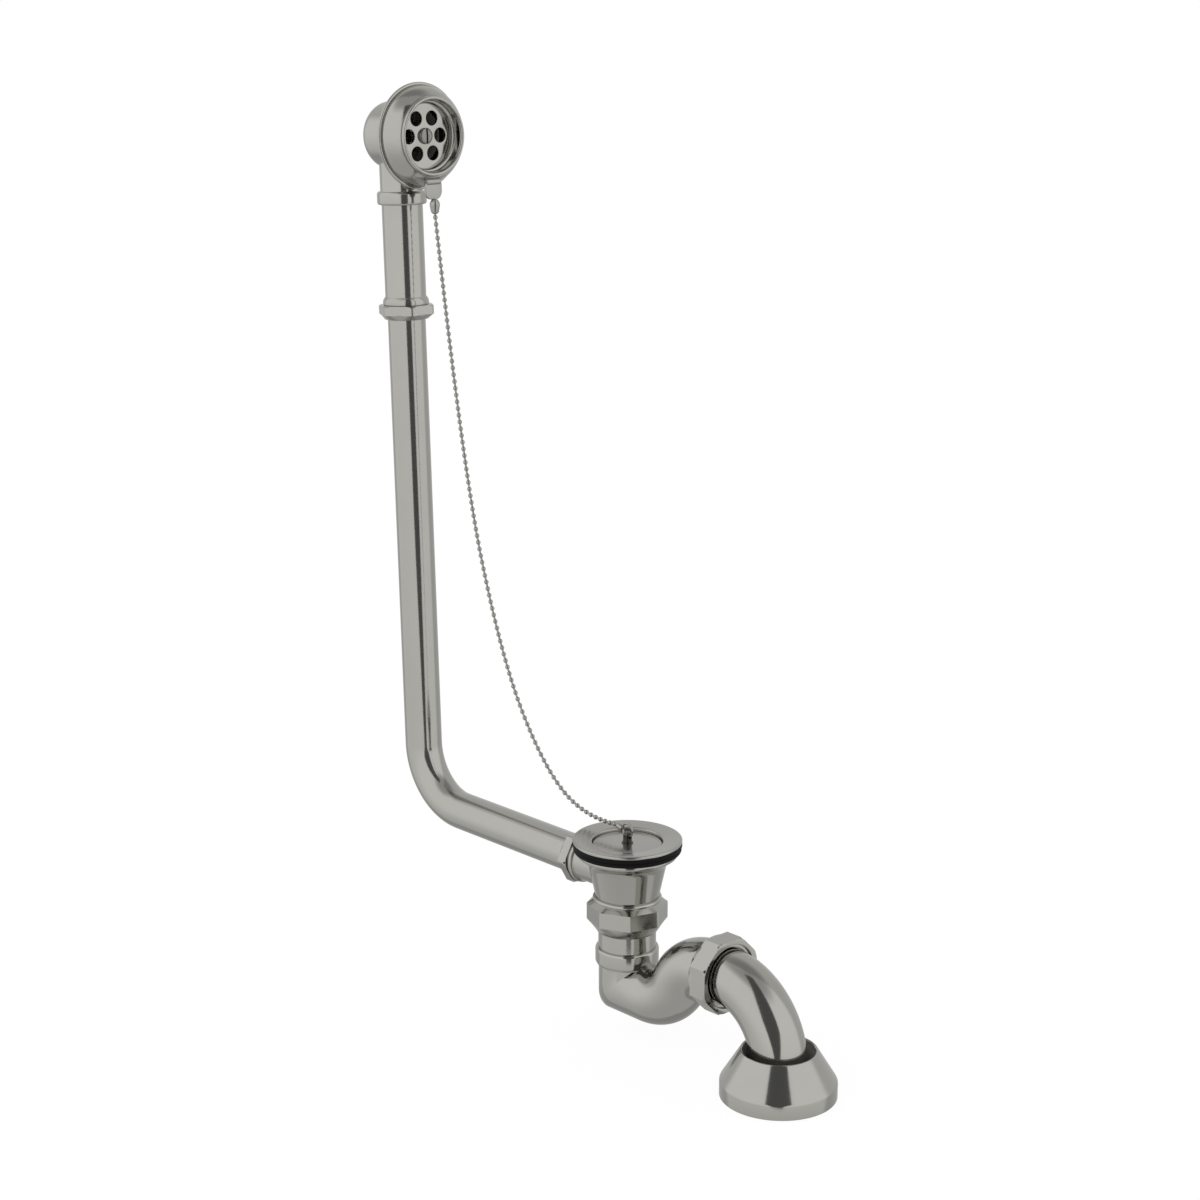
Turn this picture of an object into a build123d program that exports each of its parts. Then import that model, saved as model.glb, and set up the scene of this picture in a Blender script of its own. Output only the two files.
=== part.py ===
from build123d import *
from math import acos, atan2, cos, degrees, radians, sin, tan
import os

os.makedirs("parts", exist_ok=True)

# driving dimensions, mm: the bath's drain face is z = 0 and the waste stands on the Z axis
flange_r = 35.0
flange_t = 2.2
bowl_r = 22.6
bowl_wall = 1.5
bowl_deep = 4.0
tail_r = 19.5
tail_wall = 2.0
tail_long = 24.0
tail_slot = 15.0
plug_seal_t = 1.4
plug_t = 1.7
gasket_t = 5.8
rim_r = 32.4
rim_t = 2.4
neck_drop = 5.0
body_top_r = 25.0
body_low_r = 20.5
body_low_z = -36.0
thread_r = 20.0
thread_long = 13.2
inlet_z = -21.9
inlet_r = 14.05
inlet_end = -46.0
inlet_nut_across = 35.8
pipe_r = 12.6
pipe_bore = 10.9
pipe_corner_x = -203.6
pipe_bend = 41.5
pipe_lean = 1.85
upper_r = 13.6
tube_bead_r = 15.3
slip_nut_across = 38.8
collar_r = 16.4
collar_h = 8.6
socket_deep = 7.0
head_up = 454.4
collar_drop = 44.6
pipe_drop = 80.4
upper_drop = 115.8
barrel_r = 22.2
barrel_back = -15.9
barrel_front = 18.9
barrel_bore = 18.4
seat_r = 26.0
face_r = 34.4
lip_r = 25.2
lip_at = 36.6
grille_r = 20.6
grille_at = 26.3
hole_r = 4.7
hole_ring = 12.9
screw_r = 3.0
trap_nut_across = 52.4
trap_nut_high = 23.4
trap_ring_r = 22.2
trap_tube_r = 18.6
trap_r = 18.3
trap_bore = 16.2
trap_socket_r = 20.5
trap_socket_long = 11.2
trap_tube_shown = 11.2
trap_low_z = -97.6
trap_run = 22.0
trap_corner = 7.0
out_z = -63.5
swan_r = 29.6
out_nut_x = 77.4
out_nut_long = 15.2
out_mouth_deep = 1.8
out_nut_across = 50.2
out_r = 17.7
out_lead = 4.5
out_x = 133.9
floor_z = -127.8
shroud_r = 36.2
shroud_band = 9.7
shroud_top_r = 24.2
shroud_high = 30.0
stay_long = 11.4
bead_r = 1.6
bead_pitch = 4.45

# heights along the overflow pipe, all hung from its head
collar_low = head_up - collar_drop
pipe_top = head_up - pipe_drop
upper_low = head_up - upper_drop

# frames: the overflow leans back with the bath's end, the rest is square
lean = radians(pipe_lean)
up = Vector(-sin(lean), 0, cos(lean))
out = Vector(cos(lean), 0, sin(lean))
corner = Vector(pipe_corner_x, 0, inlet_z)
head = corner + up * head_up
pipe_plane = Plane(origin=corner, x_dir=out, z_dir=(0, -1, 0))
pipe_axis = Axis(corner, up)
head_plane = Plane(origin=head, x_dir=out, z_dir=(0, -1, 0))
head_axis = Axis(head, out)
inlet_plane = Plane(origin=(0, 0, inlet_z), x_dir=(1, 0, 0), z_dir=(0, -1, 0))
inlet_axis = Axis((0, 0, inlet_z), (1, 0, 0))
out_plane = Plane(origin=(0, 0, out_z), x_dir=(1, 0, 0), z_dir=(0, -1, 0))
out_axis = Axis((0, 0, out_z), (1, 0, 0))


def across(d):
    """Plane facing out of the overflow head, d along its axis."""
    return Plane(origin=head + out * d, x_dir=(0, 1, 0), z_dir=out)


def above(s):
    """Plane square to the overflow pipe, s up from its corner."""
    return Plane(origin=corner + up * s, x_dir=out, z_dir=up)


def side(x, z):
    """Plane square to X, looking from the outlet side."""
    return Plane(origin=(x, 0, z), x_dir=(0, 1, 0), z_dir=(1, 0, 0))


# waste flange: dished flange, plug bowl, slotted tail and cross grid
tail_bore = tail_r - tail_wall
bowl_out = bowl_r + bowl_wall
bowl_low = -bowl_deep - bowl_wall
with BuildPart() as waste_flange:
    with BuildSketch(Plane.XZ) as sk:
        Polygon(
            (tail_bore, bowl_low - tail_long), (tail_r, bowl_low - tail_long), (tail_r, bowl_low),
            (bowl_out, bowl_low), (bowl_out, 0), (flange_r, 0), (flange_r, flange_t - 0.6),
            (flange_r - 0.6, flange_t),
            (flange_r - 1.6, flange_t), (bowl_r + 0.9, flange_t - 1.0), (bowl_r, flange_t - 1.8),
            (bowl_r, -bowl_deep),
            (tail_bore, -bowl_deep), align=None)
        fillet(sk.vertices().sort_by_distance((bowl_r + 0.9, flange_t - 1.0))[0:1], 0.8)
    revolve(axis=Axis.Z)
    with BuildSketch(Plane.XY.offset(-bowl_deep - 2.5)):
        Rectangle(2 * tail_r - 0.6, 3)
        Rectangle(3, 2 * tail_r - 0.6)
        Circle(5.5)
    extrude(amount=2.5)
    with BuildSketch(Plane.XY.offset(bowl_low - tail_long)):
        Rectangle(2 * tail_r + 4, tail_slot)
    extrude(amount=tail_long - 4, mode=Mode.SUBTRACT)
waste_flange.part.label = "waste_flange"
export_step(waste_flange.part, "parts/waste_flange.step")

# waste gasket: rubber ring under the flange with a groove round its edge
with BuildPart() as waste_gasket:
    with BuildSketch(Plane.XZ) as sk:
        Polygon(
            (bowl_out, 0), (flange_r - 0.2, 0), (flange_r, -0.4), (flange_r, -gasket_t * 0.42),
            (flange_r - 0.9, -gasket_t * 0.5), (flange_r - 0.4, -gasket_t * 0.58),
            (flange_r - 0.4, -gasket_t + 0.6), (flange_r - 1.0, -gasket_t), (bowl_out, -gasket_t), align=None)
    revolve(axis=Axis.Z)
waste_gasket.part.label = "waste_gasket"
export_step(waste_gasket.part, "parts/waste_gasket.step")

# waste body: rim under the gasket, tapered bowl, side inlet and threaded tail
body_bore = thread_r - 2.6
rim_low = -gasket_t - rim_t
nut_in = inlet_r - 0.3
stub_at = inlet_end + 5.2
with BuildPart() as waste_body:
    with BuildSketch(Plane.XZ) as sk:
        Polygon(
            (tail_r, -gasket_t), (rim_r, -gasket_t), (rim_r, rim_low),
            (body_top_r + 0.4, rim_low - neck_drop),
            (body_low_r, body_low_z), (thread_r, body_low_z),
            (thread_r, body_low_z - thread_long), (body_bore, body_low_z - thread_long),
            (body_bore, body_low_z - 2),
            (tail_r, body_low_z + 2), align=None)
        fillet(sk.vertices().sort_by_distance((rim_r, rim_low))[0:1], 0.9)
        fillet(sk.vertices().sort_by_distance((rim_r, -gasket_t))[0:1], 0.5)
        fillet(sk.vertices().sort_by_distance((body_top_r + 0.4, rim_low - neck_drop))[0:1], 3.0)
    revolve(axis=Axis.Z)
    with BuildSketch(inlet_plane):
        Polygon(
            (inlet_end, 0), (inlet_end, nut_in), (stub_at, nut_in), (stub_at, inlet_r),
            (stub_at + 1.0, inlet_r),
            (stub_at + 1.6, inlet_r + 1.8), (stub_at + 3.6, inlet_r + 1.8), (stub_at + 4.4, inlet_r),
            (-tail_r + 2, inlet_r), (-tail_r + 2, 0), align=None)
    revolve(axis=inlet_axis)
    with BuildSketch(inlet_plane):
        Polygon(
            (inlet_end, 0), (inlet_end, pipe_r), (stub_at + 1, pipe_r), (stub_at + 1, pipe_bore),
            (0, pipe_bore), (0, 0),
            align=None)
    revolve(axis=inlet_axis, mode=Mode.SUBTRACT)
    with BuildSketch(Plane.XY.offset(-gasket_t)):
        Circle(tail_r)
    extrude(amount=body_low_z + 2 + gasket_t, mode=Mode.SUBTRACT)
waste_body.part.label = "waste_body"
export_step(waste_body.part, "parts/waste_body.step")

# inlet nut and seal: clamp the overflow pipe into the side inlet; its corners are turned down a little
seal_t = 1.8
nut_back = inlet_end - seal_t - 1.7
nut_turn = inlet_nut_across / 2 - 0.4
with BuildPart() as inlet_nut:
    with BuildSketch(side(nut_back, inlet_z)):
        RegularPolygon(inlet_nut_across / 2, 6)
    extrude(amount=stub_at - nut_back)
    with BuildSketch(inlet_plane):
        Polygon(
            (nut_back, 0), (nut_back, pipe_r + 1.2), (nut_back + 2.2, nut_turn), (stub_at - 1.0, nut_turn),
            (stub_at, nut_turn - 1.2), (stub_at, 0), align=None)
    revolve(axis=inlet_axis, mode=Mode.INTERSECT)
    with BuildSketch(inlet_plane):
        Polygon(
            (nut_back, 0), (nut_back, pipe_r + 0.25), (inlet_end - seal_t, pipe_r + 0.25),
            (inlet_end - seal_t, nut_in),
            (stub_at, nut_in), (stub_at, 0), align=None)
    revolve(axis=inlet_axis, mode=Mode.SUBTRACT)
inlet_nut.part.label = "inlet_nut"
export_step(inlet_nut.part, "parts/inlet_nut.step")

with BuildPart() as inlet_seal:
    with BuildSketch(inlet_plane):
        Polygon(
            (inlet_end - seal_t, pipe_r), (inlet_end - seal_t, nut_in), (inlet_end, nut_in),
            (inlet_end, pipe_r), align=None)
    revolve(axis=inlet_axis)
inlet_seal.part.label = "inlet_seal"
export_step(inlet_seal.part, "parts/inlet_seal.step")

# overflow pipe: one bent tube from the side inlet up into the telescopic tube
pipe_start = Vector(stub_at + 1, 0, inlet_z)
with BuildPart() as overflow_pipe:
    with BuildLine() as pipe_path:
        FilletPolyline(pipe_start, corner, corner + up * pipe_top, radius=pipe_bend)
    with BuildSketch(Plane(origin=pipe_start, x_dir=(0, 1, 0), z_dir=(-1, 0, 0))):
        Circle(pipe_r)
        Circle(pipe_bore, mode=Mode.SUBTRACT)
    sweep(path=pipe_path.wires()[0])
overflow_pipe.part.label = "overflow_pipe"
export_step(overflow_pipe.part, "parts/overflow_pipe.step")

# upper tube: slides over the pipe, beaded above its threaded foot
foot_r = upper_r + 1.3
with BuildPart() as upper_tube:
    with BuildSketch(pipe_plane) as sk:
        Polygon(
            (pipe_r, upper_low), (foot_r, upper_low), (foot_r, upper_low + 5.2),
            (tube_bead_r - 0.3, upper_low + 5.2),
            (tube_bead_r, upper_low + 5.7), (tube_bead_r, upper_low + 8.2), (upper_r + 0.5, upper_low + 10.2),
            (upper_r, upper_low + 10.6),
            (upper_r, collar_low + socket_deep), (pipe_r, collar_low + socket_deep), align=None)
    revolve(axis=pipe_axis)
upper_tube.part.label = "upper_tube"
export_step(upper_tube.part, "parts/upper_tube.step")

# slip nut and seal at the telescopic joint: a long cone below the flats
slip_turn = slip_nut_across / 2 - 0.45
slip_low = upper_low - 4.3
slip_top = upper_low + 5.2
with BuildPart() as slip_nut:
    with BuildSketch(above(slip_low)):
        RegularPolygon(slip_nut_across / 2, 6, rotation=34)
    extrude(amount=slip_top - slip_low)
    with BuildSketch(pipe_plane):
        Polygon(
            (0, slip_low), (foot_r - 0.4, slip_low), (slip_turn, slip_low + 3.4), (slip_turn, slip_top - 0.8),
            (slip_turn - 1.4, slip_top), (0, slip_top), align=None)
    revolve(axis=pipe_axis, mode=Mode.INTERSECT)
    with BuildSketch(pipe_plane):
        Polygon(
            (0, slip_low), (pipe_r + 0.25, slip_low), (pipe_r + 0.25, upper_low - 2.5),
            (foot_r, upper_low - 2.5), (foot_r, slip_top), (0, slip_top), align=None)
    revolve(axis=pipe_axis, mode=Mode.SUBTRACT)
slip_nut.part.label = "slip_nut"
export_step(slip_nut.part, "parts/slip_nut.step")

with BuildPart() as slip_seal:
    with BuildSketch(pipe_plane):
        Polygon(
            (pipe_r, upper_low - 2.5), (foot_r, upper_low - 2.5), (foot_r, upper_low),
            (pipe_r, upper_low), align=None)
    revolve(axis=pipe_axis)
slip_seal.part.label = "slip_seal"
export_step(slip_seal.part, "parts/slip_seal.step")

# overflow elbow: collar socket, spigot, round-backed barrel and the bar the screw bites into
spigot_r = upper_r + 0.5
spigot_bore = upper_r - 2.0
with BuildPart() as overflow_elbow:
    with BuildSketch(head_plane) as sk:
        Polygon(
            (barrel_back, 0), (barrel_back, barrel_r), (barrel_front - 3, barrel_r),
            (barrel_front - 3, seat_r),
            (barrel_front, seat_r), (barrel_front, 0), align=None)
        fillet(sk.vertices().sort_by_distance((barrel_back, barrel_r))[0:1], 9)
    revolve(axis=head_axis)
    with BuildSketch(pipe_plane) as sk:
        Polygon(
            (0, collar_low), (collar_r - 0.8, collar_low), (collar_r, collar_low + 1),
            (collar_r, collar_low + collar_h - 1.4),
            (collar_r - 0.9, collar_low + collar_h), (spigot_r, collar_low + collar_h), (spigot_r, head_up),
            (0, head_up),
            align=None)
    revolve(axis=pipe_axis)
    with BuildSketch(head_plane) as sk:
        Polygon(
            (barrel_back + 3.4, 0), (barrel_back + 3.4, barrel_bore), (barrel_front, barrel_bore),
            (barrel_front, 0),
            align=None)
        fillet(sk.vertices().sort_by_distance((barrel_back + 3.4, barrel_bore))[0:1], 6)
    revolve(axis=head_axis, mode=Mode.SUBTRACT)
    with BuildSketch(pipe_plane):
        Polygon(
            (0, collar_low), (upper_r, collar_low), (upper_r, collar_low + socket_deep),
            (spigot_bore, collar_low + socket_deep),
            (spigot_bore, head_up), (0, head_up), align=None)
    revolve(axis=pipe_axis, mode=Mode.SUBTRACT)
    with BuildSketch(across(barrel_front - 9)):
        Rectangle(2 * barrel_bore + 2, 9)
        Circle(screw_r, mode=Mode.SUBTRACT)
    extrude(amount=7)
overflow_elbow.part.label = "overflow_elbow"
export_step(overflow_elbow.part, "parts/overflow_elbow.step")

with BuildPart() as overflow_gasket:
    with BuildSketch(head_plane):
        Polygon(
            (barrel_front, barrel_bore + 0.6), (barrel_front, seat_r), (barrel_front + 1.4, seat_r),
            (barrel_front + 1.4, barrel_bore + 0.6), align=None)
    revolve(axis=head_axis)
overflow_gasket.part.label = "overflow_gasket"
export_step(overflow_gasket.part, "parts/overflow_gasket.step")

# overflow face: rim, dome, front lip, stepped recess and the pierced grille
face_back = barrel_front + 1.4
dome_rise = face_r - lip_r
dome_at = face_back + 10.6
dome_r = face_r - 0.56 * dome_rise
with BuildPart() as overflow_face:
    with BuildSketch(head_plane):
        with BuildLine():
            dome = Spline(
                (face_back + 1.8, face_r - 2.2), (face_back + 5.6, face_r - 0.29 * dome_rise),
                (dome_at, dome_r),
                (lip_at - 2.4, lip_r + 1.0))
            Polyline(
                dome @ 1, (lip_at - 2.6, lip_r + 0.3), (lip_at - 1.6, lip_r + 0.5),
                (lip_at - 0.5, lip_r + 0.1),
                (lip_at, lip_r - 0.8), (lip_at - 0.5, lip_r - 1.8), (lip_at - 1.6, lip_r - 2.2),
                (lip_at - 1.9, grille_r + 2.2), (grille_at + 3.6, grille_r + 2.2),
                (grille_at + 3.0, grille_r + 0.9),
                (grille_at + 1.2, grille_r), (face_back, grille_r), (face_back, face_r - 0.6),
                (face_back + 0.5, face_r),
                (face_back + 1.5, face_r), (face_back + 2.1, face_r - 0.7),
                (face_back + 2.1, face_r - 1.6), dome @ 0)
        make_face()
    revolve(axis=head_axis)
    with BuildSketch(across(grille_at - 2)):
        Circle(grille_r + 1)
        with PolarLocations(hole_ring, 6):
            Circle(hole_r, mode=Mode.SUBTRACT)
        Circle(screw_r, mode=Mode.SUBTRACT)
    extrude(amount=2)
overflow_face.part.label = "overflow_face"
export_step(overflow_face.part, "parts/overflow_face.step")

# face screw: slotted cheese head through the grille into the elbow's bar
with BuildPart() as face_screw:
    with BuildSketch(head_plane) as sk:
        Polygon(
            (barrel_front - 9, 0), (barrel_front - 9, screw_r), (grille_at, screw_r), (grille_at, 5.3),
            (grille_at + 1.8, 5.3), (grille_at + 2.6, 4.3), (grille_at + 2.9, 0), align=None)
    revolve(axis=head_axis)
    with BuildSketch(across(grille_at + 1.4)):
        Rectangle(1.5, 12)
    extrude(amount=3, mode=Mode.SUBTRACT)
face_screw.part.label = "face_screw"
export_step(face_screw.part, "parts/face_screw.step")

# plug and its seal, a little below the bowl's edge
plug_low = -bowl_deep + plug_seal_t
plug_top = plug_low + plug_t
with BuildPart() as plug:
    with BuildSketch(Plane.XZ) as sk:
        Polygon(
            (0, -bowl_deep), (8, -bowl_deep), (8, plug_low), (bowl_r - 0.4, plug_low),
            (bowl_r - 0.4, plug_top - 0.4),
            (bowl_r - 0.9, plug_top), (0, plug_top), align=None)
    revolve(axis=Axis.Z)
plug.part.label = "plug"
export_step(plug.part, "parts/plug.step")

with BuildPart() as plug_seal:
    with BuildSketch(Plane.XZ):
        Polygon(
            (8, -bowl_deep), (bowl_r - 1.6, -bowl_deep), (bowl_r - 1.0, plug_low - 0.4),
            (bowl_r - 1.0, plug_low),
            (8, plug_low), align=None)
    revolve(axis=Axis.Z)
plug_seal.part.label = "plug_seal"
export_step(plug_seal.part, "parts/plug_seal.step")

# trap nut: eight-sided, domed above and tapered below, with its washer
washer_top = body_low_z - thread_long
nut_top = body_low_z
nut_low = nut_top - trap_nut_high
with BuildPart() as trap_nut:
    with BuildSketch(Plane.XY.offset(nut_low)):
        RegularPolygon(trap_nut_across / 2, 8, rotation=22.5 - 17.5)
    extrude(amount=nut_top - nut_low)
    with BuildSketch(Plane.XZ) as sk:
        Polygon(
            (0, nut_top), (trap_ring_r - 0.7, nut_top), (trap_ring_r, nut_top - 0.8),
            (trap_ring_r, nut_top - 1.8),
            (trap_ring_r - 0.6, nut_top - 2.6), (trap_nut_across / 2 + 0.2, nut_top - 5.2),
            (trap_nut_across / 2 + 0.2, nut_top - 0.67 * trap_nut_high),
            (trap_tube_r + 0.8, nut_low), (0, nut_low), align=None)
    revolve(axis=Axis.Z, mode=Mode.INTERSECT)
    with BuildSketch(Plane.XZ):
        Polygon(
            (0, nut_top), (thread_r, nut_top), (thread_r, washer_top - 5), (trap_tube_r, washer_top - 5),
            (trap_tube_r, nut_low), (0, nut_low), align=None)
    revolve(axis=Axis.Z, mode=Mode.SUBTRACT)
trap_nut.part.label = "trap_nut"
export_step(trap_nut.part, "parts/trap_nut.step")

with BuildPart() as trap_washer:
    with BuildSketch(Plane.XY.offset(washer_top - 2.5)):
        Circle(thread_r)
        Circle(trap_bore, mode=Mode.SUBTRACT)
    extrude(amount=2.5)
trap_washer.part.label = "trap_washer"
export_step(trap_washer.part, "parts/trap_washer.step")

# trap inlet tube: flanged top held by the trap nut, foot in the trap's socket
socket_top = nut_low - trap_tube_shown
socket_low = socket_top - trap_socket_long
tube_low = socket_low + 1.8
with BuildPart() as trap_inlet_tube:
    with BuildSketch(Plane.XZ):
        Polygon(
            (trap_bore, tube_low), (trap_tube_r, tube_low), (trap_tube_r, washer_top - 5),
            (thread_r, washer_top - 5),
            (thread_r, washer_top - 2.5), (trap_bore, washer_top - 2.5), align=None)
    revolve(axis=Axis.Z)
trap_inlet_tube.part.label = "trap_inlet_tube"
export_step(trap_inlet_tube.part, "parts/trap_inlet_tube.step")

# trap body: socket, tight lower corner, low run and swan neck up to the outlet thread
rise = out_z - trap_low_z
sweep_deg = degrees(acos(1 - rise / (2 * swan_r)))
swan_end = trap_run + 2 * swan_r * sin(radians(sweep_deg))
thread_out = 21.0
trap_parts = []
for r in (trap_r, trap_bore):
    with BuildPart() as core:
        with BuildSketch(Plane.XY.offset(socket_low)):
            Circle(r)
        extrude(amount=trap_low_z - r - socket_low)
        with BuildSketch(Plane.XZ):
            Polygon(
                (-r, trap_low_z - r), (-r, socket_low), (r, socket_low), (r, trap_low_z + r), align=None)
        extrude(amount=r, both=True, mode=Mode.INTERSECT)
        with BuildPart(mode=Mode.PRIVATE) as run:
            with BuildSketch(side(-r, trap_low_z)):
                Circle(r)
            extrude(amount=trap_run + r)
            with BuildSketch(Plane.XZ):
                Polygon(
                    (-r, trap_low_z - r), (r, trap_low_z + r), (trap_run, trap_low_z + r),
                    (trap_run, trap_low_z - r),
                    align=None)
            extrude(amount=r, both=True, mode=Mode.INTERSECT)
        add(run.part)
        with BuildSketch(Plane.XZ) as sk:
            Polygon(
                (-r, trap_low_z - r), (-r, socket_low), (trap_run, socket_low),
                (trap_run, trap_low_z - r), align=None)
            fillet(sk.vertices().sort_by_distance((-r, trap_low_z - r))[0:1], trap_corner)
        extrude(amount=r, both=True, mode=Mode.INTERSECT)
        with BuildSketch(side(trap_run, trap_low_z)):
            Circle(r)
        revolve(axis=Axis((trap_run, 0, trap_low_z + swan_r), (0, -1, 0)), revolution_arc=sweep_deg)
        with BuildSketch(side(swan_end, out_z)):
            Circle(r)
        revolve(axis=Axis((swan_end, 0, out_z - swan_r), (0, -1, 0)), revolution_arc=sweep_deg)
        with BuildSketch(side(swan_end, out_z)):
            Circle(r)
        extrude(amount=out_nut_x + 5.0 - swan_end)
    trap_parts.append(core.part)
with BuildPart() as trap_body:
    add(trap_parts[0])
    with BuildSketch(Plane.XZ):
        Polygon(
            (0, socket_low), (trap_socket_r - 1.1, socket_low), (trap_socket_r, socket_low + 1.6),
            (trap_socket_r, socket_top - 1.2), (trap_socket_r - 0.7, socket_top), (0, socket_top), align=None)
    revolve(axis=Axis.Z)
    with BuildSketch(side(out_nut_x, out_z)):
        Circle(thread_out)
    extrude(amount=5.0)
    add(trap_parts[1], mode=Mode.SUBTRACT)
    with BuildSketch(Plane.XY.offset(tube_low)):
        Circle(trap_tube_r)
    extrude(amount=socket_top - tube_low, mode=Mode.SUBTRACT)
    with BuildSketch(Plane.XY.offset(socket_low)):
        Circle(trap_bore)
    extrude(amount=tube_low - socket_low, mode=Mode.SUBTRACT)
trap_body.part.label = "trap_body"
export_step(trap_body.part, "parts/trap_body.step")

# outlet nut and washer: eight-sided, lying along X
nut_front = out_nut_x + out_nut_long
spigot_x = out_nut_x + 5.0
flange_x = spigot_x + 1.8
lip_x = flange_x + 1.8
with BuildPart() as outlet_nut:
    with BuildSketch(side(out_nut_x, out_z)):
        RegularPolygon(out_nut_across / 2, 8, rotation=22.5)
    extrude(amount=out_nut_long)
    with BuildSketch(out_plane):
        Polygon(
            (out_nut_x, 0), (out_nut_x, out_nut_across / 2 - 2.8), (out_nut_x + 2.4, out_nut_across / 2),
            (nut_front - 1.2, out_nut_across / 2), (nut_front, out_nut_across / 2 - 1.2),
            (nut_front, 0), align=None)
    revolve(axis=out_axis, mode=Mode.INTERSECT)
    with BuildSketch(out_plane):
        Polygon(
            (out_nut_x, 0), (out_nut_x, thread_out), (lip_x, thread_out), (lip_x, out_r + 0.9),
            (nut_front - out_mouth_deep, out_r + 0.9),
            (nut_front - out_mouth_deep, out_r + 2.4), (nut_front, out_r + 2.8), (nut_front, 0), align=None)
    revolve(axis=out_axis, mode=Mode.SUBTRACT)
outlet_nut.part.label = "outlet_nut"
export_step(outlet_nut.part, "parts/outlet_nut.step")

with BuildPart() as outlet_washer:
    with BuildSketch(side(spigot_x, out_z)):
        Circle(thread_out)
        Circle(trap_bore, mode=Mode.SUBTRACT)
    extrude(amount=1.8)
outlet_washer.part.label = "outlet_washer"
export_step(outlet_washer.part, "parts/outlet_washer.step")

# outlet elbow: flanged end held by the nut, bend down into the floor shroud
out_bore = out_r - 2.0
bend_x = flange_x + out_lead
out_bend = out_x - bend_x
out_parts = []
for r in (out_r, out_bore):
    with BuildPart() as core:
        with BuildSketch(side(flange_x, out_z)):
            Circle(r)
        extrude(amount=out_lead)
        with BuildSketch(side(bend_x, out_z)):
            Circle(r)
        revolve(axis=Axis((bend_x, 0, out_z - out_bend), (0, 1, 0)), revolution_arc=90)
        with BuildSketch(Plane.XY.offset(floor_z)):
            with Locations((out_x, 0)):
                Circle(r)
        extrude(amount=out_z - out_bend - floor_z)
    out_parts.append(core.part)
with BuildPart() as outlet_elbow:
    add(out_parts[0])
    with BuildSketch(side(flange_x, out_z)):
        Circle(thread_out)
    extrude(amount=lip_x - flange_x)
    add(out_parts[1], mode=Mode.SUBTRACT)
outlet_elbow.part.label = "outlet_elbow"
export_step(outlet_elbow.part, "parts/outlet_elbow.step")

# floor shroud: cone on a straight band, with an inner web gripping the outlet
web_low = out_z - out_bend - floor_z - 4.4
shroud_axis = Axis((out_x, 0, 0), (0, 0, 1))
shroud_plane = Plane(origin=(out_x, 0, floor_z), x_dir=(1, 0, 0), z_dir=(0, -1, 0))
with BuildPart() as floor_shroud:
    with BuildSketch(shroud_plane) as sk:
        Polygon(
            (shroud_r - 2.5, 0), (shroud_r, 0), (shroud_r, shroud_band), (shroud_top_r, shroud_high - 0.9),
            (shroud_top_r - 0.6, shroud_high), (shroud_top_r - 1.2, shroud_high),
            (shroud_top_r - 1.9, shroud_high - 0.9), (shroud_top_r - 1.9, shroud_high - 3),
            (out_r, web_low + 3),
            (out_r, web_low), (shroud_r - 7, web_low), (shroud_r - 2.5, shroud_band - 1.2),
            align=None)
    revolve(axis=shroud_axis)
floor_shroud.part.label = "floor_shroud"
export_step(floor_shroud.part, "parts/floor_shroud.step")

# chain stay: a shield plate hung from a rolled barrel under the front lip
stay_at = dome_at + 1.9
stay_top = -dome_r + 0.3
stay_low = stay_top - stay_long
with BuildPart() as chain_stay:
    with BuildSketch(across(stay_at - 1.0)) as sk:
        Polygon(
            (-6.8, stay_top), (6.8, stay_top), (6.8, stay_top - 8), (4.2, stay_low), (-4.2, stay_low),
            (-6.8, stay_top - 8), align=None)
        fillet(sk.vertices().sort_by_distance((0, stay_low))[0:2], 1.8)
        fillet(sk.vertices().sort_by_distance((6.8, stay_top - 8))[0:1], 2.5)
        fillet(sk.vertices().sort_by_distance((-6.8, stay_top - 8))[0:1], 2.5)
    extrude(amount=2.0)
    with BuildSketch(Plane(origin=head + out * stay_at + up * stay_top, x_dir=out, z_dir=(0, 1, 0))):
        Circle(2.2)
    extrude(amount=5.5, both=True)
    add(overflow_face.part, mode=Mode.SUBTRACT)
chain_stay.part.label = "chain_stay"
export_step(chain_stay.part, "parts/chain_stay.step")

# chain route in the XZ plane, rounded at each corner, from the stay's bell to the plug's ring
stay_foot = head + out * stay_at + up * stay_low
bell_long = 9.4
route_top = stay_foot + Vector(1.4, 0, -bell_long)
stud_r = 2.8
stud_top = 6.4
ring_r = 4.4
ring_wire = 0.75
eye_z = 3.2
ring_z = eye_z + ring_r
route = [
    route_top, Vector(-159, 0, 222), Vector(-121.5, 0, 97.5), Vector(-81.5, 0, 32.5), Vector(-41.5, 0, 5.6),
    Vector(-9.6, 0, 8.8)]
radii = []
for i in range(1, len(route) - 1):
    before, after = route[i] - route[i - 1], route[i + 1] - route[i]
    turn = radians(before.get_angle(after))
    radii.append(0.45 * min(before.length, after.length) / tan(turn / 2))
print("chain radii", [round(r, 1) for r in radii])

with BuildPart() as chain_bell:
    with BuildSketch(Plane(origin=route_top, x_dir=(1, 0, 0), z_dir=(0, -1, 0))) as sk:
        Polygon(
            (0, 0), (1.3, 0), (2.6, 1.2), (2.9, 3.0), (3.35, 5.8), (3.2, 7.4), (2.0, bell_long),
            (0, bell_long),
            align=None)
    revolve(axis=Axis(route_top, (0, 0, 1)))
    add(chain_stay.part, mode=Mode.SUBTRACT)
chain_bell.part.label = "chain_bell"
export_step(chain_bell.part, "parts/chain_bell.step")

# bead chain: six-sided beads on a thin link, at one pitch along the route
with BuildPart() as bead:
    for lift in (1, -1):
        with BuildSketch(Plane.XY):
            RegularPolygon(bead_r * 1.05, 6)
        with BuildSketch(Plane.XY.offset(lift * bead_r * 0.92)):
            RegularPolygon(bead_r * 0.5, 6)
        loft()
    with BuildSketch(Plane.XY):
        Rectangle(0.7, 0.7)
    extrude(amount=bead_pitch / 2 + 0.05, both=True)

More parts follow.
